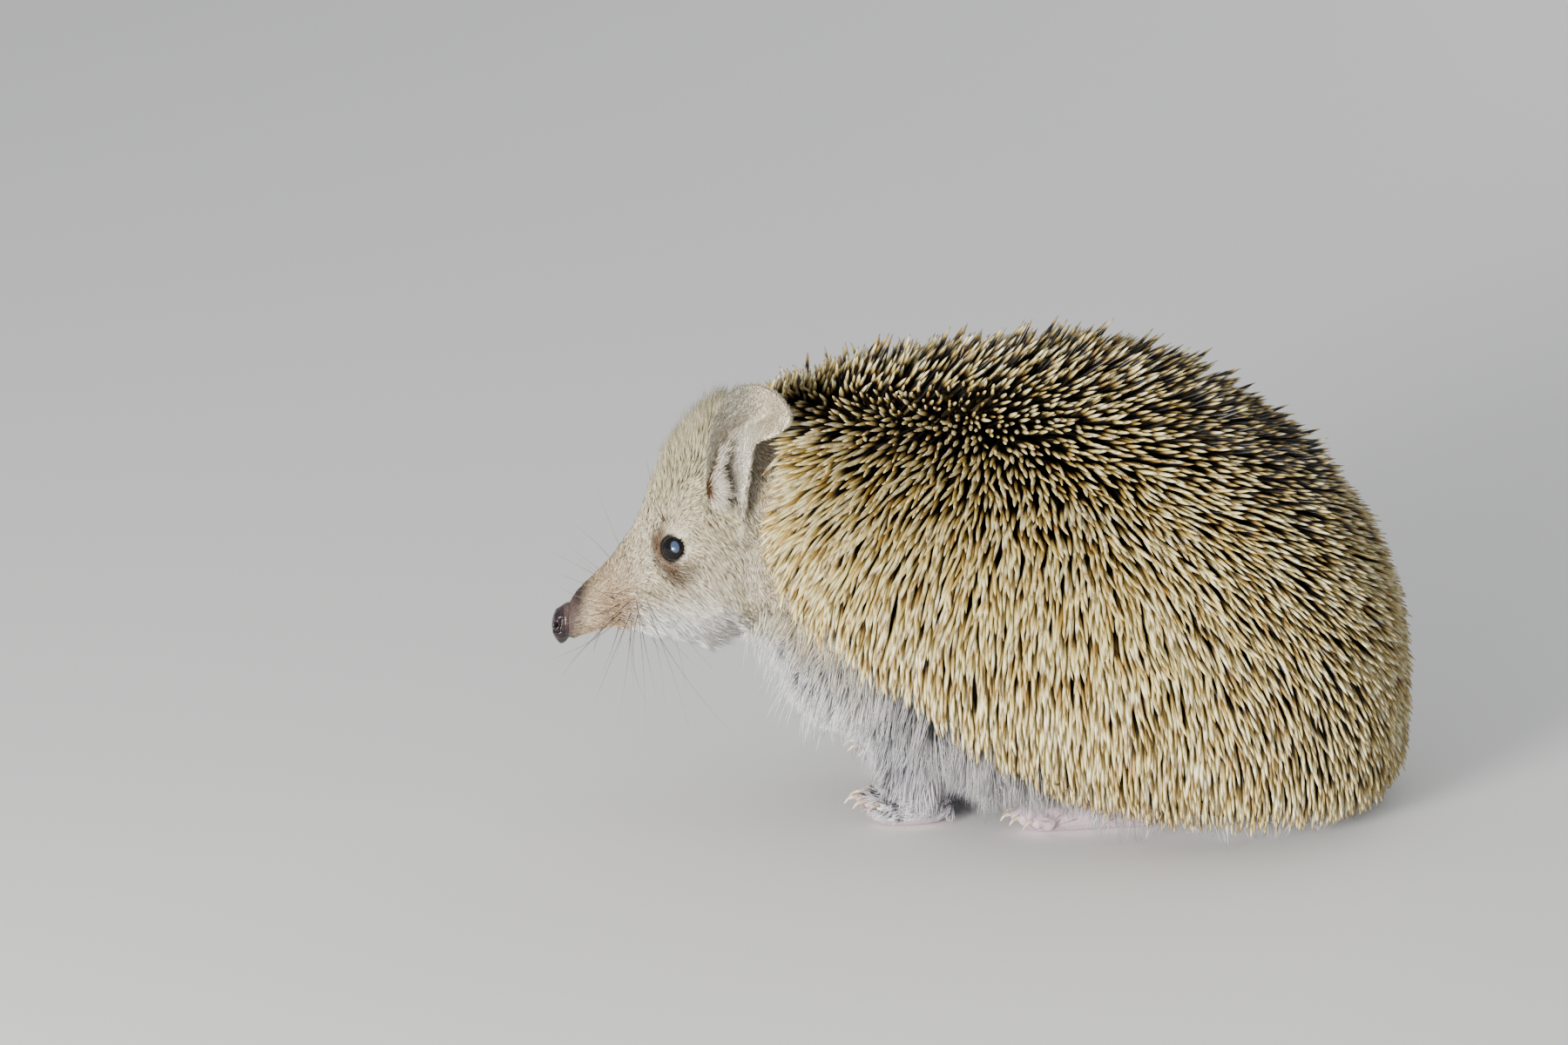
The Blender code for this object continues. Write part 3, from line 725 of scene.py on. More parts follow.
def grow(name, roots, normals, start_ways, end_ways, lengths, radii, outline, sides, colours,
         clumping=0.0, clump_share=0.1, tones=None, from_tip=None):
    """One joined mesh of tapered strands.

    Each strand leaves its root along its start way and bends to its end way. The outline gives
    (part of the length, part of the radius) for its rings, and it ends in a point. Its place
    along the strand runs from 0 at the root to 1 at the tip, or with from_tip it is 1 at the
    tip and falls to 0 at that length below it.
    """
    count = len(roots)
    spans = np.array([row[0] for row in outline])
    swells = np.array([row[1] for row in outline])
    spans_all = np.append(spans, 1.0)
    bend = (spans_all ** 2)[None, :, None] * 0.5
    run = spans_all[None, :, None]
    reach = lengths[:, None, None]
    lines = roots[:, None] + reach * (
        start_ways[:, None] * (run - bend) + end_ways[:, None] * bend
    )
    if clumping:
        leaders = rng.choice(count, max(1, int(count * clump_share)), replace=False)
        tree = tree_of(roots[leaders])
        owner = np.array([leaders[tree.find(root)[1]] for root in roots])
        lines = lines + (lines[owner] - lines) * (spans_all ** 1.5)[None, :, None] * clumping
    steps = unit(np.gradient(lines, axis=1))
    across = unit(np.cross(steps, normals[:, None]))
    up = np.cross(across, steps)
    turns = np.arange(sides) * 2 * math.pi / sides
    rings = len(spans)
    wide = (radii[:, None] * swells[None])[:, :, None, None]
    ring_points = lines[:, :rings, None] + wide * (
        across[:, :rings, None] * np.cos(turns)[None, None, :, None]
        + up[:, :rings, None] * np.sin(turns)[None, None, :, None]
    )
    per = rings * sides + 1
    points = np.empty((count, per, 3))
    points[:, : per - 1] = ring_points.reshape(count, -1, 3)
    points[:, -1] = lines[:, -1]
    points[..., 2] = np.maximum(points[..., 2], FLOOR_GAP)
    faces = []
    for k in range(rings - 1):
        for i in range(sides):
            j = (i + 1) % sides
            a, b, c, d = k * sides + i, k * sides + j, (k + 1) * sides + j, (k + 1) * sides + i
            faces += [(a, b, c), (a, c, d)]
    last = (rings - 1) * sides
    faces += [(last + i, last + (i + 1) % sides, per - 1) for i in range(sides)]
    faces += [(0, i + 1, i) for i in range(1, sides - 1)]
    pattern = np.array(faces)
    all_faces = (pattern[None] + (np.arange(count) * per)[:, None, None]).reshape(-1, 3)

    mesh = bpy.data.meshes.new(name)
    mesh.vertices.add(count * per)
    mesh.vertices.foreach_set("co", (points * MM).astype(np.float32).ravel())
    mesh.loops.add(len(all_faces) * 3)
    mesh.loops.foreach_set("vertex_index", all_faces.astype(np.int32).ravel())
    mesh.polygons.add(len(all_faces))
    mesh.polygons.foreach_set("loop_start", np.arange(0, len(all_faces) * 3, 3, dtype=np.int32))
    mesh.update(calc_edges=True)
    mesh.shade_smooth()

    along = np.append(np.repeat(spans, sides), 1.0)
    if from_tip is not None:
        banding = 1.0 - lengths[:, None] * (1.0 - along)[None] / from_tip[:, None]
        store(mesh, "along", "FLOAT", np.clip(banding, 0, 1))
    else:
        store(mesh, "along", "FLOAT", np.tile(along, count))
    tones = rng.random(count) if tones is None else tones
    store(mesh, "tone", "FLOAT", np.repeat(tones, per))
    rgba = np.column_stack([colours, np.ones(count)])
    store(mesh, "colour_and_painted_shading", "FLOAT_COLOR", np.repeat(rgba, per, axis=0))
    round_part = np.append(np.tile(np.arange(sides) / sides, rings), 0.5)
    patch = BAKE_PATCH * np.column_stack([round_part - 0.5, along - 0.5])
    place = unwrap(roots)[:, None] + patch[None]
    corner_uv = place.reshape(-1, 2)[all_faces.ravel()]
    mesh.uv_layers.new(name="OFBake").uv.foreach_set("vector", corner_uv.astype(np.float32).ravel())
    return new_piece(name, mesh)


def store(mesh, name, kind, values):
    attribute = mesh.attributes.new(name, kind, "POINT")
    field = "color" if kind == "FLOAT_COLOR" else "value"
    attribute.data.foreach_set(field, np.ascontiguousarray(values, np.float32).ravel())


# How the spines lie, by place along the body and by how far the coat leans from upright there.
# The turn is 0 toward the rump, 90 down the flank and 180 toward the head, and the rise is the
# angle at which they stand out of the coat, both in degrees.
LIE_PLACES = [-47.0, -29.0, -10.0, 5.0, 20.0, 41.0, 63.0]
LIE_LEANS = [0.0, 20.0, 35.0, 55.0, 75.0, 100.0]
LIE_TURNS = [
    [0, 80, 118, 125, 118, 112],
    [0, 60, 98, 112, 108, 103],
    [0, 20, 88, 100, 99, 96],
    [0, 18, 72, 76, 89, 91],
    [0, 25, 46, 66, 81, 86],
    [0, 26, 43, 55, 65, 80],
    [0, 25, 42, 50, 60, 72],
]
LIE_RISES = [
    [58, 54, 46, 31, 28, 26],
    [56, 57, 54, 32, 28, 27],
    [50, 50, 56, 40, 30, 27],
    [46, 46, 52, 38, 30, 27],
    [45, 40, 42, 33, 29, 27],
    [41, 36, 36, 31, 28, 27],
    [34, 33, 32, 29, 27, 26],
]
RUMP_RISE = 25.0
SPINE_REACH = 21.0  # the longest spine
SPINE_GAP = 1.36  # how close the tips of two spines come on the flank
PALE_STRETCH = [0.6, 0.76, 1.4, 1.7]  # how the pale tips lengthen from the back to the flank
MANTLE_EDGE_Y = [-48.9, -48.2, -44.8, -40.9, -37.8, -31.2, -25.9, -16.7, -4.5, 4.8, 14.9, 29.8, 45]
MANTLE_EDGE_Z = [60.0, 57.4, 51.8, 47.3, 42.6, 39.9, 34.5, 29.3, 20.1, 14.6, 8.5, 4.0, 1.2]


def mantle_edge(y):
    """The height of the spines' lower edge at each place along the body."""
    return np.interp(y, MANTLE_EDGE_Y, MANTLE_EDGE_Z)


def table_value(table, places, leans, place, lean):
    """The table's value between its rows and columns."""
    row = np.interp(place, places, np.arange(len(places)))
    low = np.clip(row.astype(int), 0, len(places) - 2)
    part = row - low
    by_row = np.array([np.interp(lean, leans, line) for line in table])
    here = np.arange(len(place))
    return by_row[low, here] * (1 - part) + by_row[low + 1, here] * part


def spine_ways(places, normals):
    """The way each spine points, by where its tip is in the coat's outer face."""
    x, y, z = places.T
    side = np.where(x >= 0, 1.0, -1.0)
    lean = np.degrees(np.arctan2(np.abs(normals[:, 0]), normals[:, 2]))
    turn = np.radians(table_value(LIE_TURNS, LIE_PLACES, LIE_LEANS, y, lean))
    rise = table_value(LIE_RISES, LIE_PLACES, LIE_LEANS, y, lean)
    rump = ramp(y, 60, 86)
    rise = rise * (1 - rump) + RUMP_RISE * rump
    back = unit(flattened(np.array([0.0, 1.0, 0.0]), normals))
    down = unit(flattened(columns(side * 0.6, 0.0, -1.0), normals))
    lie = back * np.cos(turn)[:, None] + down * np.sin(turn)[:, None]
    fall = unit(flattened(columns(x * 0.004, 0.25, -1.0), normals))
    lie = unit(lie * (1 - rump)[:, None] + fall * rump[:, None])
    wander = drift(places, 15.0, 3) * 0.09
    lie = unit(flattened(lie + wander + rng.normal(size=lie.shape) * 0.14, normals))
    rise = np.radians(rise + 4.0 * waves(places, 11.0, 6) + rng.normal(size=len(y)) * 5.5)
    ways = unit(lie * np.cos(rise)[:, None] + normals * np.sin(rise)[:, None])
    # Near the coat's lower edge they hang straight down.
    edge = mantle_edge(y)
    hang = np.maximum(1 - ramp(z - edge, 4.0, 15.0), 1 - ramp(normals[:, 2], -0.35, 0.1))
    hang = (hang * ramp(y, -34, -18) * 0.85)[:, None]
    straight = columns(np.clip(x / 12, -1, 1) * 0.3, 0.02, -1.0)
    straight += rng.normal(size=lie.shape) * 0.07
    return unit(ways * (1 - hang) + straight * hang)


def make_spines(coat_face, skin_tree):
    """Spines whose tips are spread evenly over the coat's outer face, rooted in the skin."""
    def density(places, normals):
        edge = mantle_edge(places[:, 1])
        return 1.9 * (places[:, 1] > -49.2) * (places[:, 2] > edge) * (normals[:, 2] > -0.9)

    tips, normals = coat_face.scatter(density)
    rear = 0.75 * normals[:, 1] * ramp(tips[:, 1], 40, 78)
    lean = np.degrees(np.arctan2(np.hypot(normals[:, 0], rear), normals[:, 2]))
    gaps = SPINE_GAP * rng.uniform(0.85, 1.1, len(tips))
    gaps *= np.interp(lean, [20, 60, 80], [1.25, 0.99, 0.94])
    kept = spaced(tips, gaps)
    tips, normals = tips[kept], normals[kept]
    tips[:, 2] += waves(tips, 8.0, 8) * 0.5 * (tips[:, 1] < 40)
    lean = lean[kept]
    proud = np.interp(lean, [30, 60], [3.0, 0.8]) * (rng.random(len(tips)) < 0.3)
    proud *= rng.random(len(tips))
    sunk = np.interp(lean, [30, 60], [3.2, 1.5]) * rng.random(len(tips)) - proud
    tips = tips - normals * sunk[:, None]
    tips[:, 2] = np.maximum(tips[:, 2], 0.3)
    ways = spine_ways(tips, normals)
    lengths = np.zeros(len(tips))
    for i in range(len(tips)):
        for _ in range(6):
            hit = skin_tree.ray_cast(Vector(tips[i] - ways[i] * 1.5) * MM, Vector(-ways[i]))
            lengths[i] = 1.5 + hit[3] / MM if hit[0] else 99.0
            if lengths[i] <= SPINE_REACH:
                break
            ways[i] = unit(ways[i] + 0.22 * normals[i])
    good = (lengths < SPINE_REACH + 4) & (lengths > 3.5)
    tips, normals, ways, lengths, lean = (
        part[good] for part in (tips, normals, ways, lengths, lean)
    )
    lengths += 0.4
    roots = tips - ways * lengths[:, None]
    radii = 0.49 * rng.uniform(0.8, 1.12, len(tips)) * np.interp(lengths, [5, 15], [0.7, 1.0])
    outline = [(0.0, 0.5), (0.55, 0.95), (0.77, 0.95), (0.91, 0.58)]
    tones = np.clip(0.5 + 0.28 * rng.normal(size=len(tips)) + 0.13 * waves(tips, 14.0, 9), 0, 1)
    banding = SPINE_REACH * np.interp(lean, [0, 35, 60, 80], PALE_STRETCH)
    # Random lengths, and toward the rump the pale tips shorten to half: painted shade that darkens
    # the rump.
    banding *= rng.uniform(0.85, 1.2, len(tips)) * np.interp(tips[:, 1], [30, 74], [1.0, 0.5])
    thirds = np.array_split(np.argsort(tips[:, 1], kind="stable"), 3)
    pieces = []
    for part_name, part in zip(("shoulder", "back", "rump"), thirds):
        pieces.append(grow(
            "spines_" + part_name, roots[part], normals[part], ways[part], ways[part],
            lengths[part], radii[part], outline, SPINE_SIDES,
            np.tile(PALETTE["sandy"], (len(part), 1)), tones=tones[part], from_tip=banding[part],
        ))
    return pieces


# How the hair of the head lies on the left side: a place and the way it points there.
FACE_LIE = [
    ((2, -90, 42), (0.1, 0.9, 0.4)),
    ((3, -84, 49), (0.1, 0.8, 0.6)),
    ((5, -84, 40), (0.3, 1.0, 0.1)),
    ((9, -77, 53), (0.2, 0.6, 0.8)),
    ((9, -77, 44), (0.4, 0.9, 0.0)),
    ((12, -71, 60), (0.1, 0.15, 1.0)),
    ((11, -69, 66), (0.0, 0.3, 1.0)),
    ((5, -66, 77), (0.0, 0.45, 0.9)),
    ((12, -60, 80), (0.1, 0.5, 0.9)),
    ((14, -66, 64), (0.2, 0.8, 0.5)),
    ((16, -61, 62), (0.2, 0.8, -0.6)),
    ((14, -70, 55), (0.3, 0.6, -0.4)),
    ((15, -66, 52), (0.2, 0.9, -0.35)),
    ((18, -58, 55), (0.1, 0.7, -0.8)),
    ((17, -56, 67), (0.3, 0.7, -0.6)),
    ((12, -74, 40), (0.2, 0.9, -0.4)),
    ((14, -64, 41), (0.0, 0.8, -0.6)),
    ((10, -58, 36), (0.0, 0.8, -0.5)),
    ((0, -76, 37), (0.0, 1.0, -0.2)),
    ((19, -50, 75), (0.0, 0.0, -1.0)),
    ((20, -50, 55), (0.0, 0.1, -1.0)),
    ((15, -48, 42), (0.0, 0.3, -1.0)),
]


def hair_lie(places, controls):
    """The way hair lies at each place, from the nearest of the given ways."""
    side, left = mirrored(places)
    total = np.zeros((len(places), 3))
    for place, way in controls:
        gap = np.linalg.norm(left - np.array(place), axis=1)
        total += unit(way)[None] * (1.0 / (gap + 0.8) ** 3)[:, None]
    total[:, 0] *= side
    return unit(total)


def lifted(lie, normals, degrees):
    """The lie along the surface, raised from it by some degrees."""
    flat = unit(flattened(lie, normals))
    angle = np.radians(np.broadcast_to(degrees, len(flat)))[:, None]
    return unit(flat * np.cos(angle) + normals * np.sin(angle))


def grow_fur(name, places, normals, lie, lengths, radii, lifts, clumping=0.35,
             strand=FUR_STRAND):
    """Fine hair that rises from its root and bends down to lie along the body."""
    lie = unit(lie + rng.normal(size=lie.shape) * 0.13 + drift(places, 5.0, 11) * 0.12)
    start = lifted(lie, normals, lifts[0] + rng.normal(size=len(lie)) * 6)
    end = lifted(lie, normals, lifts[1] + rng.normal(size=len(lie)) * 6)
    return grow(name, places, normals, start, end, lengths, radii, strand, HAIR_SIDES,
                markings_and_painted_shading(places), clumping=clumping)


def make_face_fur(surface):
    """Short dense fur of the head and neck."""
    def density(places, normals):
        y, z = places[:, 1], places[:, 2]
        head = within(y, -88.7, -33) & (z > 34) & (~ear_part(places) | (z < 72))
        eye = eye_frames(places)[1] > 3.3
        thin = (0.25 + 0.75 * ramp(y, -88.7, -86.2)) * (1 - 0.6 * ramp(y, -46, -42))
        return FACE_HAIRS * head * eye * thin * ((y < -40) | (z > 46))

    places, normals = surface.scatter(density)
    y, z = places[:, 1], places[:, 2]
    lengths = np.interp(y, [-89, -84, -76, -68, -58, -53, -51], [0.8, 1.3, 2.2, 3.0, 3.8, 3.2, 1.9])
    lengths = lengths * (1 - 0.8 * near(places, EYE_CENTRE, 7.5, 0.6))
    brow = ramp(z - (y + 70) * 0.9, 64, 72) * (1 - ramp(y, -54, -52))
    chin = ramp(47 - z, 0, 5) * ramp(y, -76, -70) * (1 - ramp(y, -52, -49))
    lengths = lengths * (1 + 0.8 * brow + 0.8 * chin) * rng.uniform(0.6, 1.3, len(places))
    radii = np.interp(y, [-89, -80, -60], [0.05, 0.065, 0.08]) * rng.uniform(0.8, 1.2, len(places))
    lie = hair_lie(places, FACE_LIE)
    start = 32 + 24 * brow - 14 * ramp(y, -53, -51) - 14 * (1 - ramp(y, -88, -84))
    end = 7 + 31 * brow + 6 * chin
    white = markings_and_painted_shading(places)[:, 2] > rng.uniform(0.66, 0.9, len(places))
    coloured = np.flatnonzero(~white)
    thirds = np.array_split(coloured[np.argsort(places[coloured, 0], kind="stable")], 3)
    groups = zip(("face_fur_right", "face_fur_middle", "face_fur_left", "chin_fur"),
                 thirds + [np.flatnonzero(white)])
    pieces = []
    for piece_name, part in groups:
        pieces.append(grow_fur(piece_name, places[part], normals[part], lie[part],
                               lengths[part], radii[part], (start[part], end[part])))
    return pieces


def make_ear_fur(surface):
    """The velvet of the ears."""
    def density(places, normals):
        return EAR_HAIRS * ear_part(places) * ramp(places[:, 2], 69.0, 73.0)

    places, normals = surface.scatter(density)
    side = np.sign(places[:, 0])
    lie = columns(side * 0.35, 0.25, 0.9)
    lengths = rng.uniform(0.8, 1.7, len(places))
    radii = rng.uniform(0.04, 0.055, len(places))
    return [grow_fur("ear_fur", places, normals, lie, lengths, radii, (34, 20), 0.15,
                     VELVET_STRAND)]


def make_ear_tufts(skin_tree):
    """The fan of longer pale hairs before each ear's opening."""
    count = TUFT_HAIRS
    side = np.where(rng.random(count) < 0.5, 1.0, -1.0)
    low = rng.random(count) < 0.62
    part = rng.random(count)
    y = np.where(low, -58.9, -58.6 + 2.6 * part) + rng.normal(size=count) * 0.45
    z = np.where(low, 73.9, 74.8 + 7.0 * part) + rng.normal(size=count) * 0.8
    roots, normals = np.zeros((count, 3)), np.zeros((count, 3))
    for i in range(count):
        # The first skin met from the side, so that the fan lies over the ear's foot.
        start = Vector((side[i] * 45, y[i], z[i])) * MM
        place, normal, _, _ = skin_tree.ray_cast(start, Vector((-side[i], 0, 0)))
        roots[i], normals[i] = place / MM, normal
    angle = np.where(low, -66 + 132 * part, 24 + 40 * part) + rng.normal(size=count) * 10
    angle = np.radians(angle)
    ways = columns(side * 0.25, np.cos(angle), np.sin(angle))
    lengths = np.where(low, rng.uniform(4.4, 8.2, count), rng.uniform(2.6, 5.0, count))
    out = columns(side, 0.0, 0.0)
    start = unit(ways + out * (0.85 + 0.2 * rng.normal(size=count))[:, None])
    end = unit(ways + out * (0.16 + 0.12 * rng.normal(size=count))[:, None])
    colours = np.tile(linear("#F3EDE0"), (count, 1))
    return [grow("ear_tufts", roots, normals, start, end, lengths, np.full(count, 0.062),
                 LONG_STRAND, HAIR_SIDES, colours, clumping=0.3, clump_share=0.16)]


def make_belly_fur(surface):
    """Long soft hair of the chest, belly and legs, and short hair on the feet."""
    def density(places, normals):
        x, y, z = folded(places)
        edge = mantle_edge(y)
        chest = (z < edge + 9) & (y > -52) & within(z, 0.8, 48 - ramp(-y, 46, 52) * 8)
        feet = (z < 9) & within(x, 12, 34)
        fore, hind = feet & (y < -8), feet & within(y, -2, 42)
        front = 1 - ramp(y, 10, 40)
        front += 1.8 * ramp(y, -18, -12) * (1 - ramp(y, 8, 14)) * (x > 10) * (z < 26)
        amount = 1.25 * chest * (0.2 + 0.8 * front) * ~fore * ~hind
        amount += 3.6 * fore * (z > 2) * (0.3 + 0.7 * ramp(y, -27, -23)) + 0.2 * hind
        return amount * (y < 88) * (z > 0.8)

    places, normals = surface.scatter(density)
    x, y, z = folded(places)
    count = len(places)
    feet = (z < 9) & within(x, 12, 34) & within(y, -34, 42)
    leg = (z < 24) & within(x, 12, 33) & within(y, -34, 0) & ~feet
    lengths = np.interp(y, [-50, -40, -28, -18, 0, 40, 90], [4, 6, 8.5, 12, 14, 8, 6])
    lengths = np.where(leg, 9.5, lengths)
    lengths = np.where(feet, np.interp(y, [-30, -26, -20], [1.2, 2.4, 4.4]), lengths)
    lengths = lengths * rng.uniform(0.6, 1.25, count)
    clear = np.interp(y, [-40, -30, -23, -20, 0, 4, 18, 26], [15, 18, 16.5, 0, 0, 6.5, 6.5, 0])
    clear *= (x > 4) & ~feet
    lengths = np.minimum(lengths, np.maximum((z - clear) * 1.1, 3.0))
    lengths = np.minimum(lengths, np.maximum((z - 0.3) * 1.03, 1.0))
    forward = np.interp(y, [-50, -30, -10, 10], [-0.35, -0.2, 0.0, 0.12])
    sway = drift(places, 7.0, 21) * 0.10
    hang = columns(places[:, 0] * 0.004, forward, -1.0)
    hang[leg] = [0.0, -0.15, -1.0]
    hang = unit(hang + sway + rng.normal(size=(count, 3)) * 0.10)
    start = unit(0.55 * normals + hang)
    end = unit(np.where(normals[:, 2:] < -0.2, 0.0, 0.12) * normals + hang)
    toward_toes = columns(0.0, -0.9, 0.25 - 0.12 * z)
    toward_toes += rng.normal(size=(count, 3)) * 0.13 + sway * 2
    start[feet] = lifted(toward_toes, normals, 20.0)[feet]
    end[feet] = lifted(toward_toes, normals, 5.0)[feet]
    radii = np.where(feet, 0.07, 0.085) * rng.uniform(0.7, 1.2, count)
    halves = np.array_split(np.argsort(y, kind="stable"), 2)
    return [
        grow(part_name, places[part], normals[part], start[part], end[part], lengths[part],
             radii[part], LONG_STRAND, HAIR_SIDES, markings_and_painted_shading(places[part]), clumping=0.6,
             clump_share=0.07)
        for part_name, part in zip(("chest_fur", "belly_fur"), halves)
    ]


def make_guard_hairs(surface):
    """Sparse long hairs that hang past the chest's soft outline."""
    def density(places, normals):
        y, z = places[:, 1], places[:, 2]
        edge = mantle_edge(y)
        return GUARD_HAIRS * within(y, -52, -32) * (z < edge + 6) * within(z, 14, 44)

    places, normals = surface.scatter(density)
    count = len(places)
    hang = columns(places[:, 0] * 0.006, -0.22, -1.0)
    hang = unit(hang + rng.normal(size=(count, 3)) * 0.2)
    lengths = np.minimum(rng.uniform(8, 14.5, count), places[:, 2] - 7)
    return [grow("guard_hairs", places, normals, unit(0.8 * normals + hang), hang, lengths,
                 np.full(count, 0.06), LONG_STRAND, HAIR_SIDES, markings_and_painted_shading(places),
                 clumping=0.25)]


def make_whiskers(surface):
    """Long stiff hairs of the muzzle, chin and brow."""
    tree = tree_of(surface.points)
    plan = []  # root, way and length of each hair of the left side
    for row in range(4):
        for place in range(5):
            root = (9.5 + row * 0.3, -80.5 + place * 2.1, 47.0 - row * 2.3 + place * 0.5)
            way = (1.0, -1.15 + 0.42 * place, 0.55 - 0.42 * row - 0.15 * place)
            plan.append((root, way, 18 + 4.4 * place))
    for place in range(5):
        root = (4.5 + place * 0.8, -81 + place * 2.4, 37.0)
        plan.append((root, (0.4, -0.5 + 0.25 * place, -1.0), 9 + 2 * place))
    plan += [((12, -70, 65), (0.5, -0.5, 1.0), 15), ((13, -69, 65), (0.5, -0.2, 1.0), 19)]
    plan = [
        (np.array(root) * [side, 1, 1], np.array(way) * [side, 1, 1], length)
        for side in SIDES.values() for root, way, length in plan
    ]
    found = [tree.find(root)[1] for root, _, _ in plan]
    roots = surface.points[found] + rng.normal(size=(len(plan), 3)) * 0.15
    normals = surface.normals[found]
    ways = unit(unit([way for _, way, _ in plan]) + rng.normal(size=(len(plan), 3)) * 0.12)
    curl = columns(0.0, *rng.normal(size=(len(plan), 2)).T * 0.35)
    ends = unit(ways + curl)
    lengths = np.array([length for _, _, length in plan]) * rng.uniform(0.8, 1.15, len(plan))
    radii = np.full(len(plan), 0.10)
    outline = [(i / 8, 1 - 0.85 * i / 8) for i in range(8)]
    colours = np.tile(linear("#8A8178"), (len(plan), 1))
    return [grow("whiskers", roots, normals, ways, ends, lengths, radii, outline, 4, colours)]


# ---------------------------------------------------------------- eyes, nose and claws

def make_eye(name, side):
    bpy.ops.object.select_all(action="DESELECT")
    bpy.ops.mesh.primitive_uv_sphere_add(
        segments=64, ring_count=40, radius=EYE_RADIUS * MM, location=(0, 0, 0)
    )
    eye = bpy.context.active_object
    eye.name = name
    set_points(eye.data, points_of(eye.data) + EYE_CENTRE * [side, 1, 1])
    eye.data.shade_smooth()
    return eye


def make_claws():
    """Curved claws of all the toes."""
    bm = bmesh.new()
    for foot in FEET.values():
        for side in SIDES.values():
            for path in toe_paths(foot)[1]:
                tube(bm, placed(path, foot, side), count=10, rows_between=4)
    claws = piece_from(bm, "claws")
    claws.data.shade_smooth()
    return claws


def make_nose():
    """The wet leather at the muzzle's end, with its nostrils and the groove between them."""
    nose = merged_copy("nose_pad", growth=0.08)
    nose.name = "nose"
    nose.data.name = "nose"
    apply_modifier(nose, "REMESH", mode="VOXEL", voxel_size=0.14 * MM, adaptivity=0.0)
    apply_modifier(nose, "SMOOTH", factor=0.5, iterations=16)
    points = points_of(nose.data)
    normals = normals_of(nose.data)
    x, y, z = folded(points)
    groove = bell(x, 0.32) * (1 - ramp(y, -91.6, -90.6))
    crease = bell(y + 0.1 * (z - 38) + 89.8, 0.28) * ramp(x, 0.6, 1.4)
    slit = bell(y + 90.7 - 0.12 * (z - 38), 0.38)
    slit *= ramp(z, 37.6, 38.4) * (1 - ramp(z, 40.2, 41.0)) * ramp(x, 0.9, 1.5)
    fold = bell(z - 37.7 - 0.2 * (y + 91), 0.3) * ramp(x, 0.3, 0.9)
    fold *= 1 - ramp(y, -90.6, -90.1)
    nostril = np.maximum(slit, 0.7 * fold)
    bead = np.exp(-((x / 1.0) ** 2 + ((y + 90.6) / 0.9) ** 2)) * (1 - ramp(z, 35.2, 36.6))
    points -= normals * (0.3 * groove + 0.22 * crease + 0.9 * nostril - 0.5 * bead)[:, None]
    lip = ramp(x, 0.8, 1.6) * bell(y + 91.5, 0.5) * (z > 38.2)
    behind = ramp(y, -89.6, -88.0)
    points += normals * (0.25 * lip - 0.3 * behind)[:, None]
    set_points(nose.data, points)
    # Painted shade: the nostrils, the groove and the crease are stored to be coloured darker.
    store(nose.data, "nostril", "FLOAT", np.clip(nostril + 0.6 * groove + 0.6 * crease, 0, 1))
    nose.data.shade_smooth()
    return nose


# ---------------------------------------------------------------- materials

def add(tree, kind, links=(), values=None, **settings):
    """A node with its settings, its inputs' values and its links, which are given as (input,
    from node, from output)."""
    node = tree.nodes.new("ShaderNode" + kind)
    for key, value in settings.items():
        setattr(node, key, value)
    for key, value in (values or {}).items():
        node.inputs[key].default_value = value
    for socket, source, output in links:
        tree.links.new(source.outputs[output], node.inputs[socket])
    return node


def set_ramp(node, *stops):
    """Colours of a ramp as (place, hex colour)."""
    elements = node.color_ramp.elements
    while len(elements) < len(stops):
        elements.new(0.5)
    for element, (place, colour) in zip(elements, stops):
        element.position = place
        element.color = (*linear(colour), 1.0)


def multiply(tree, first, second, factor=1.0):
    """The product of two (node, output) colours."""
    return add(tree, "Mix", [(6, *first), (7, *second)], {"Factor": factor},
               data_type="RGBA", blend_type="MULTIPLY")


def stored(tree, name):
    return add(tree, "Attribute", attribute_name=name)


def new_material(name, roughness, ior=1.5, specular=0.5):
    material = bpy.data.materials.new(name)
    material.use_nodes = True
    shader = material.node_tree.nodes["Principled BSDF"]
    shader.inputs["Roughness"].default_value = roughness
    shader.inputs["IOR"].default_value = ior
    shader.inputs["Specular IOR Level"].default_value = specular
    return material, material.node_tree


def finished(material, node, output, bump=None):
    """The material with its colour from a node's output, and its relief from a bump."""
    tree = material.node_tree
    shader = tree.nodes["Principled BSDF"]
    tree.links.new(node.outputs[output], shader.inputs["Base Color"])
    if bump:
        tree.links.new(bump.outputs["Normal"], shader.inputs["Normal"])
    return material


def spine_keratin():
    """Hard smooth keratin: pale root, near-black band and straw tip, with a low gloss."""
    material, tree = new_material("spine_keratin", 0.42, ior=1.55)
    along, tone = stored(tree, "along"), stored(tree, "tone")
    shift = add(tree, "Math", [(0, tone, "Fac")], {1: 0.12, 2: -0.06}, operation="MULTIPLY_ADD")
    moved = add(tree, "Math", [(0, along, "Fac"), (1, shift, 0)], operation="ADD")
    bands = add(tree, "ValToRGB", [("Fac", moved, 0)])
    set_ramp(bands, (0.0, "#B5A686"), (0.26, "#857350"), (0.36, "#1B1714"), (0.72, "#15110F"),
             (0.765, "#6E5A32"), (0.83, "#BFB07D"), (0.94, "#E4DFC0"), (1.0, "#8A7248"))
    tint = add(tree, "ValToRGB", [("Fac", tone, "Fac")])
    set_ramp(tint, (0.0, "#B79C66"), (0.35, "#E2D4A8"), (0.75, "#F6F1DC"), (1.0, "#FFFFFF"))
    return finished(material, multiply(tree, (bands, "Color"), (tint, "Color")), 2)


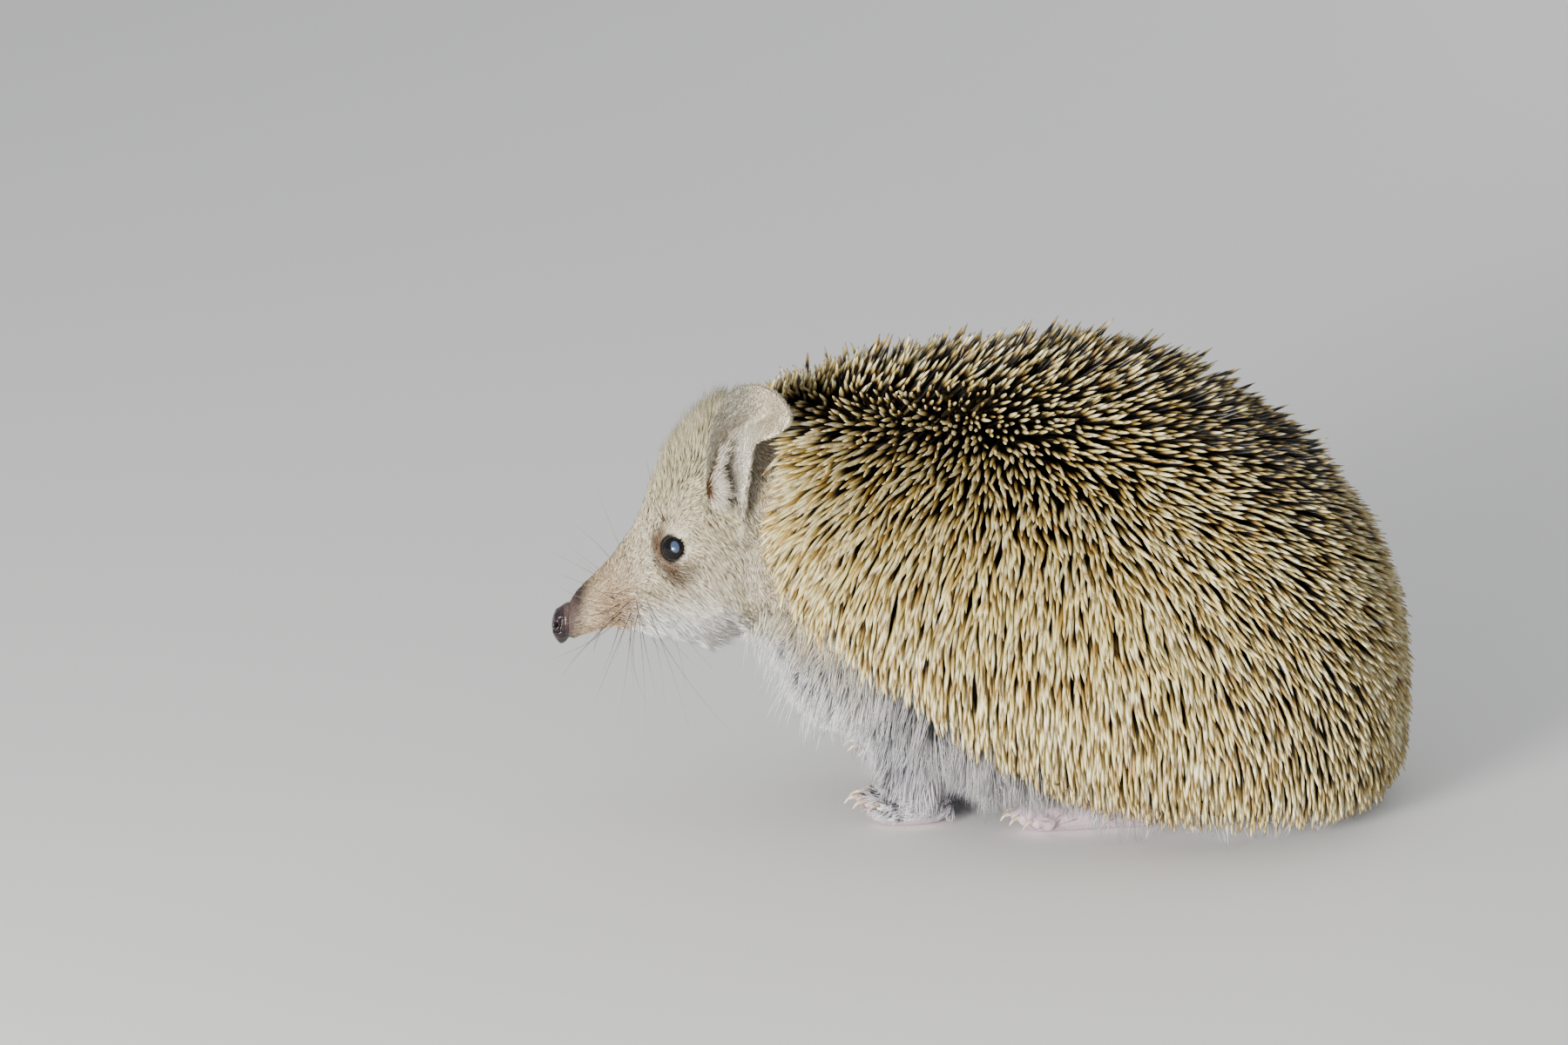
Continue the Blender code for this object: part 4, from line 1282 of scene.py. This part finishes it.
def hair(name, roughness, root_shade, dull="#BBAE9C", dark=0.0):
    """Soft hair in the coat's own colour, darker at its root than at its tip.

    The root's shade runs on unchanged for the dark part of its length. Some hairs are duller.
    """
    material, tree = new_material(name, roughness, specular=0.3)
    depth = add(tree, "ValToRGB", [("Fac", stored(tree, "along"), "Fac")])
    set_ramp(depth, (dark, root_shade), (0.5 + dark / 2, "#F4F2EF"), (1.0, "#FFFFFF"))
    vary = add(tree, "ValToRGB", [("Fac", stored(tree, "tone"), "Fac")])
    set_ramp(vary, (0.0, dull), (0.45, "#EEEBE6"), (1.0, "#FFFFFF"))
    shaded = multiply(tree, (stored(tree, "colour_and_painted_shading"), "Color"), (depth, "Color"))
    return finished(material, multiply(tree, (shaded, 2), (vary, "Color"), factor=0.8), 2)


def hide():
    """Soft hide under the coat, in the coat's colours with their painted shade, and a fine grain."""
    material, tree = new_material("hide", 0.62, specular=0.18)
    place = add(tree, "TexCoord")
    grain = add(tree, "TexNoise", [("Vector", place, "Object")], {"Scale": 1300, "Detail": 3})
    bump = add(tree, "Bump", [("Height", grain, "Fac")], {"Strength": 0.6, "Distance": 0.0003})
    return finished(material, stored(tree, "colour_and_painted_shading"), "Color", bump)


def nose_leather():
    """Wet pebbled leather, near black with a purple cast, that turns to bare skin behind, with
    painted shade darkening its nostrils, groove and crease.
    """
    material, tree = new_material("nose_leather", 0.2, ior=1.45)
    place = add(tree, "TexCoord")
    pebbles = add(tree, "TexVoronoi", [("Vector", place, "Object")], {"Scale": 3200})
    shade = add(tree, "ValToRGB", [("Fac", pebbles, "Distance")])
    set_ramp(shade, (0.0, "#2B1E22"), (1.0, "#140E10"))
    back = add(tree, "VectorMath", [(0, place, "Object")], {1: (0.0, 1.0, 0.35)},
               operation="DOT_PRODUCT")
    part = add(tree, "MapRange", [("Value", back, "Value")], {
        "From Min": (-89.8 + 0.35 * 38) * MM,
        "From Max": (-87.6 + 0.35 * 38) * MM,
    })
    behind = add(tree, "Mix", [("Factor", part, "Result"), (6, shade, "Color")],
                 {7: (*PALETTE["bare muzzle"], 1)}, data_type="RGBA")
    # Painted shade darkens the nostrils, the groove and the crease.
    whole = add(tree, "Mix", [("Factor", stored(tree, "nostril"), "Fac"), (6, behind, 2)],
                {7: (*linear("#0D090A"), 1)}, data_type="RGBA")
    bump = add(tree, "Bump", [("Height", pebbles, "Distance")],
               {"Strength": 0.5, "Distance": 0.00008}, invert=True)
    return finished(material, whole, 2, bump)


def wet_eye(name, side):
    """A wet dark eyeball with a painted milky blue reflection in its pupil."""
    material, tree = new_material(name, 0.04, ior=1.38)
    place = add(tree, "TexCoord")
    centre = tuple(EYE_CENTRE * [side, 1, 1] * MM)
    reflection_spot = tuple(unit([side * 0.955, -0.07, 0.33]) * EYE_RADIUS * MM)
    away = add(tree, "VectorMath", [(0, place, "Object")], {1: centre}, operation="SUBTRACT")
    gap = add(tree, "VectorMath", [(0, away, 0)], {1: reflection_spot}, operation="SUBTRACT")
    upright = add(tree, "VectorRotate", [("Vector", gap, 0)], {"Angle": -0.3},
                  rotation_type="X_AXIS")
    squeezed = add(tree, "VectorMath", [(0, upright, 0)], {1: (1.0, 1.45, 1.0)},
                   operation="MULTIPLY")
    distance = add(tree, "VectorMath", [(0, squeezed, 0)], operation="LENGTH")
    shade = add(tree, "MapRange", [("Value", distance, "Value")], {
        "From Min": 1.15 * MM, "From Max": 1.42 * MM, "To Min": 1.0, "To Max": 0.0,
    })
    # The blue spot in the pupil is a painted reflection.
    mix = add(tree, "Mix", [("Factor", shade, "Result")],
              {6: (*linear("#0D0807"), 1), 7: (*linear("#354257"), 1)}, data_type="RGBA")
    return finished(material, mix, 2)


def claw_horn():
    """Thin pale horn, smooth and a little see-through, so it is light with a soft gloss."""
    material, tree = new_material("claw_horn", 0.3, ior=1.55)
    place = add(tree, "TexCoord")
    streaks = add(tree, "TexNoise", [("Vector", place, "Object")], {"Scale": 900, "Detail": 2})
    shade = add(tree, "ValToRGB", [("Fac", streaks, "Fac")])
    set_ramp(shade, (0.3, "#8F7868"), (0.7, "#C3AF9E"))
    return finished(material, shade, "Color")


def floor_paint():
    """Flat pale paint of the studio floor."""
    material, tree = new_material("floor_paint", 0.85)
    tree.nodes["Principled BSDF"].inputs["Base Color"].default_value = (*linear("#F3F2EF"), 1)
    return material


# ---------------------------------------------------------------- the making

def dress(piece, material, slot, *nodes):
    """Gives a piece its finish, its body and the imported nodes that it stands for."""
    piece.data.materials.clear()
    piece.data.materials.append(material)
    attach(piece, "root")
    if nodes:
        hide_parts(*nodes)


skin = make_skin()
surface = Surface(skin.data)

coat_shape = merged_copy("trunk", growth=0.0)
apply_modifier(coat_shape, "REMESH", mode="VOXEL", voxel_size=1.2 * MM, adaptivity=0.0)
apply_modifier(coat_shape, "SMOOTH", factor=0.5, iterations=6)
coat_face = Surface(coat_shape.data)
bpy.data.objects.remove(coat_shape)
skin_tree = BVHTree.FromPolygons(
    [Vector(point) * MM for point in surface.points], surface.triangles.tolist()
)

spines = make_spines(coat_face, skin_tree)
*face_fur, chin_fur = make_face_fur(surface)
ear_fur = make_ear_fur(surface)
ear_tufts = make_ear_tufts(skin_tree)
belly_fur = make_belly_fur(surface) + make_guard_hairs(surface)
whiskers = make_whiskers(surface)

rgba = np.column_stack([markings_and_painted_shading(surface.points), np.ones(len(surface.points))])
skin_y, skin_z = surface.points[:, 1], surface.points[:, 2]
on_ears = ear_part(surface.points)
mantle = (skin_y > -33) & (skin_z > mantle_edge(skin_y) + 4) & ~on_ears

# Painted shade: the hide is darker than the hair over it, standing in for the shade between the
# hairs, and darkest under the long belly hair, but not on the ears, the feet, the muzzle's bare end
# and the white chin.
shade = 0.55 + 0.35 * (skin_z < 8) + 0.3 * on_ears
shade -= 0.3 * (skin_y > -50) * (skin_z < 38) * (skin_z > 8)
shade = np.maximum(shade, 1 - ramp(skin_y, -88.0, -84.5))
shade = np.maximum(shade, 0.95 * ramp(rgba[:, 2], 0.7, 0.9) * (skin_y < -48))
rgba[:, :3] *= shade[:, None]
# Under the spines the hide is painted near black, as painted shade between the spines.
rgba[mantle, :3] = PALETTE["painted shade under spines"]
store(skin.data, "colour_and_painted_shading", "FLOAT_COLOR", rgba)

flesh = [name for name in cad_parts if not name.startswith(("eye_", "nose_"))]
dress(skin, hide(), "bare_skin", *flesh)
coats = [
    (spines, spine_keratin(), "spiny_coat"),
    (face_fur, hair("face_hair", 0.6, "#A3937B", dull="#927F64"), "face_fur"),
    ([chin_fur], hair("white_hair", 0.55, "#F4F3F1", dull="#EFEDE9"), "face_fur"),
    (ear_fur, hair("velvet_hair", 0.7, "#C4B8A4", dull="#A8987F"), "face_fur"),
    (ear_tufts, hair("tuft_hair", 0.55, "#5E4128", dull="#A08C74", dark=0.3), "face_fur"),
    (belly_fur, hair("belly_hair", 0.5, "#6E7077", dull="#868994"), "belly_fur"),
    (whiskers, hair("whisker_hair", 0.4, "#5A5048"), "face_fur"),
]
for pieces, material, slot in coats:
    for piece in pieces:
        dress(piece, material, slot)
for side_name, side in SIDES.items():
    eye = make_eye("eyeball_" + side_name, side)
    dress(eye, wet_eye("wet_eye_" + side_name, side), "eye_gloss", "eye_" + side_name)
dress(make_nose(), nose_leather(), "nose_leather", "nose_pad")
dress(make_claws(), claw_horn(), "bare_skin")


# ---------------------------------------------------------------- floor, light and camera

bpy.ops.object.select_all(action="DESELECT")
bpy.ops.mesh.primitive_plane_add(size=12.0, location=(0, 0, 0))
floor = bpy.context.active_object
floor.name = "floor"
floor.data.materials.append(floor_paint())


def soft_light(name, place, aim, size, power, colour):
    """A square studio lamp at a place, turned to its aim."""
    bpy.ops.object.light_add(type="AREA", location=place)
    lamp = bpy.context.active_object
    lamp.name = name
    lamp.data.size = size
    lamp.data.energy = power
    lamp.data.color = linear(colour)
    lamp.rotation_euler = (Vector(aim) - Vector(place)).to_track_quat("-Z", "Y").to_euler()


# Sizes in metres and power in watts.
soft_light("key", (1.05, -0.60, 0.17), (0, -0.02, 0.04), 0.34, 40.0, "#FFFEFA")
soft_light("fill", (1.14, -0.38, 0.09), (0, -0.03, 0.03), 0.5, 9.0, "#F2F5FF")
soft_light("back", (-1.1, 0.7, 0.5), (0, 0, 0.04), 0.9, 4.0, "#FFFFFF")
soft_light("top", (-0.3, 0.1, 1.1), (0, 0, 0.04), 0.8, 1.6, "#FFFFFF")

world = bpy.data.worlds.new("studio")
world.use_nodes = True
background = world.node_tree.nodes["Background"]
background.inputs["Color"].default_value = (*linear("#E9ECF2"), 1)
background.inputs["Strength"].default_value = 0.48
bpy.context.scene.world = world

ELEVATION = math.radians(15)
CAMERA_DISTANCE = 1.86
aim = Vector((0, -0.0428, 0.059 / math.cos(ELEVATION)))
way = Vector((math.cos(ELEVATION), 0, math.sin(ELEVATION)))
bpy.ops.object.camera_add(location=aim + way * CAMERA_DISTANCE)
camera = bpy.context.active_object
camera.rotation_euler = (-way).to_track_quat("-Z", "Y").to_euler()
camera.data.lens = 200
camera.data.sensor_width = 36
camera.data.clip_end = 10
bpy.context.scene.camera = camera
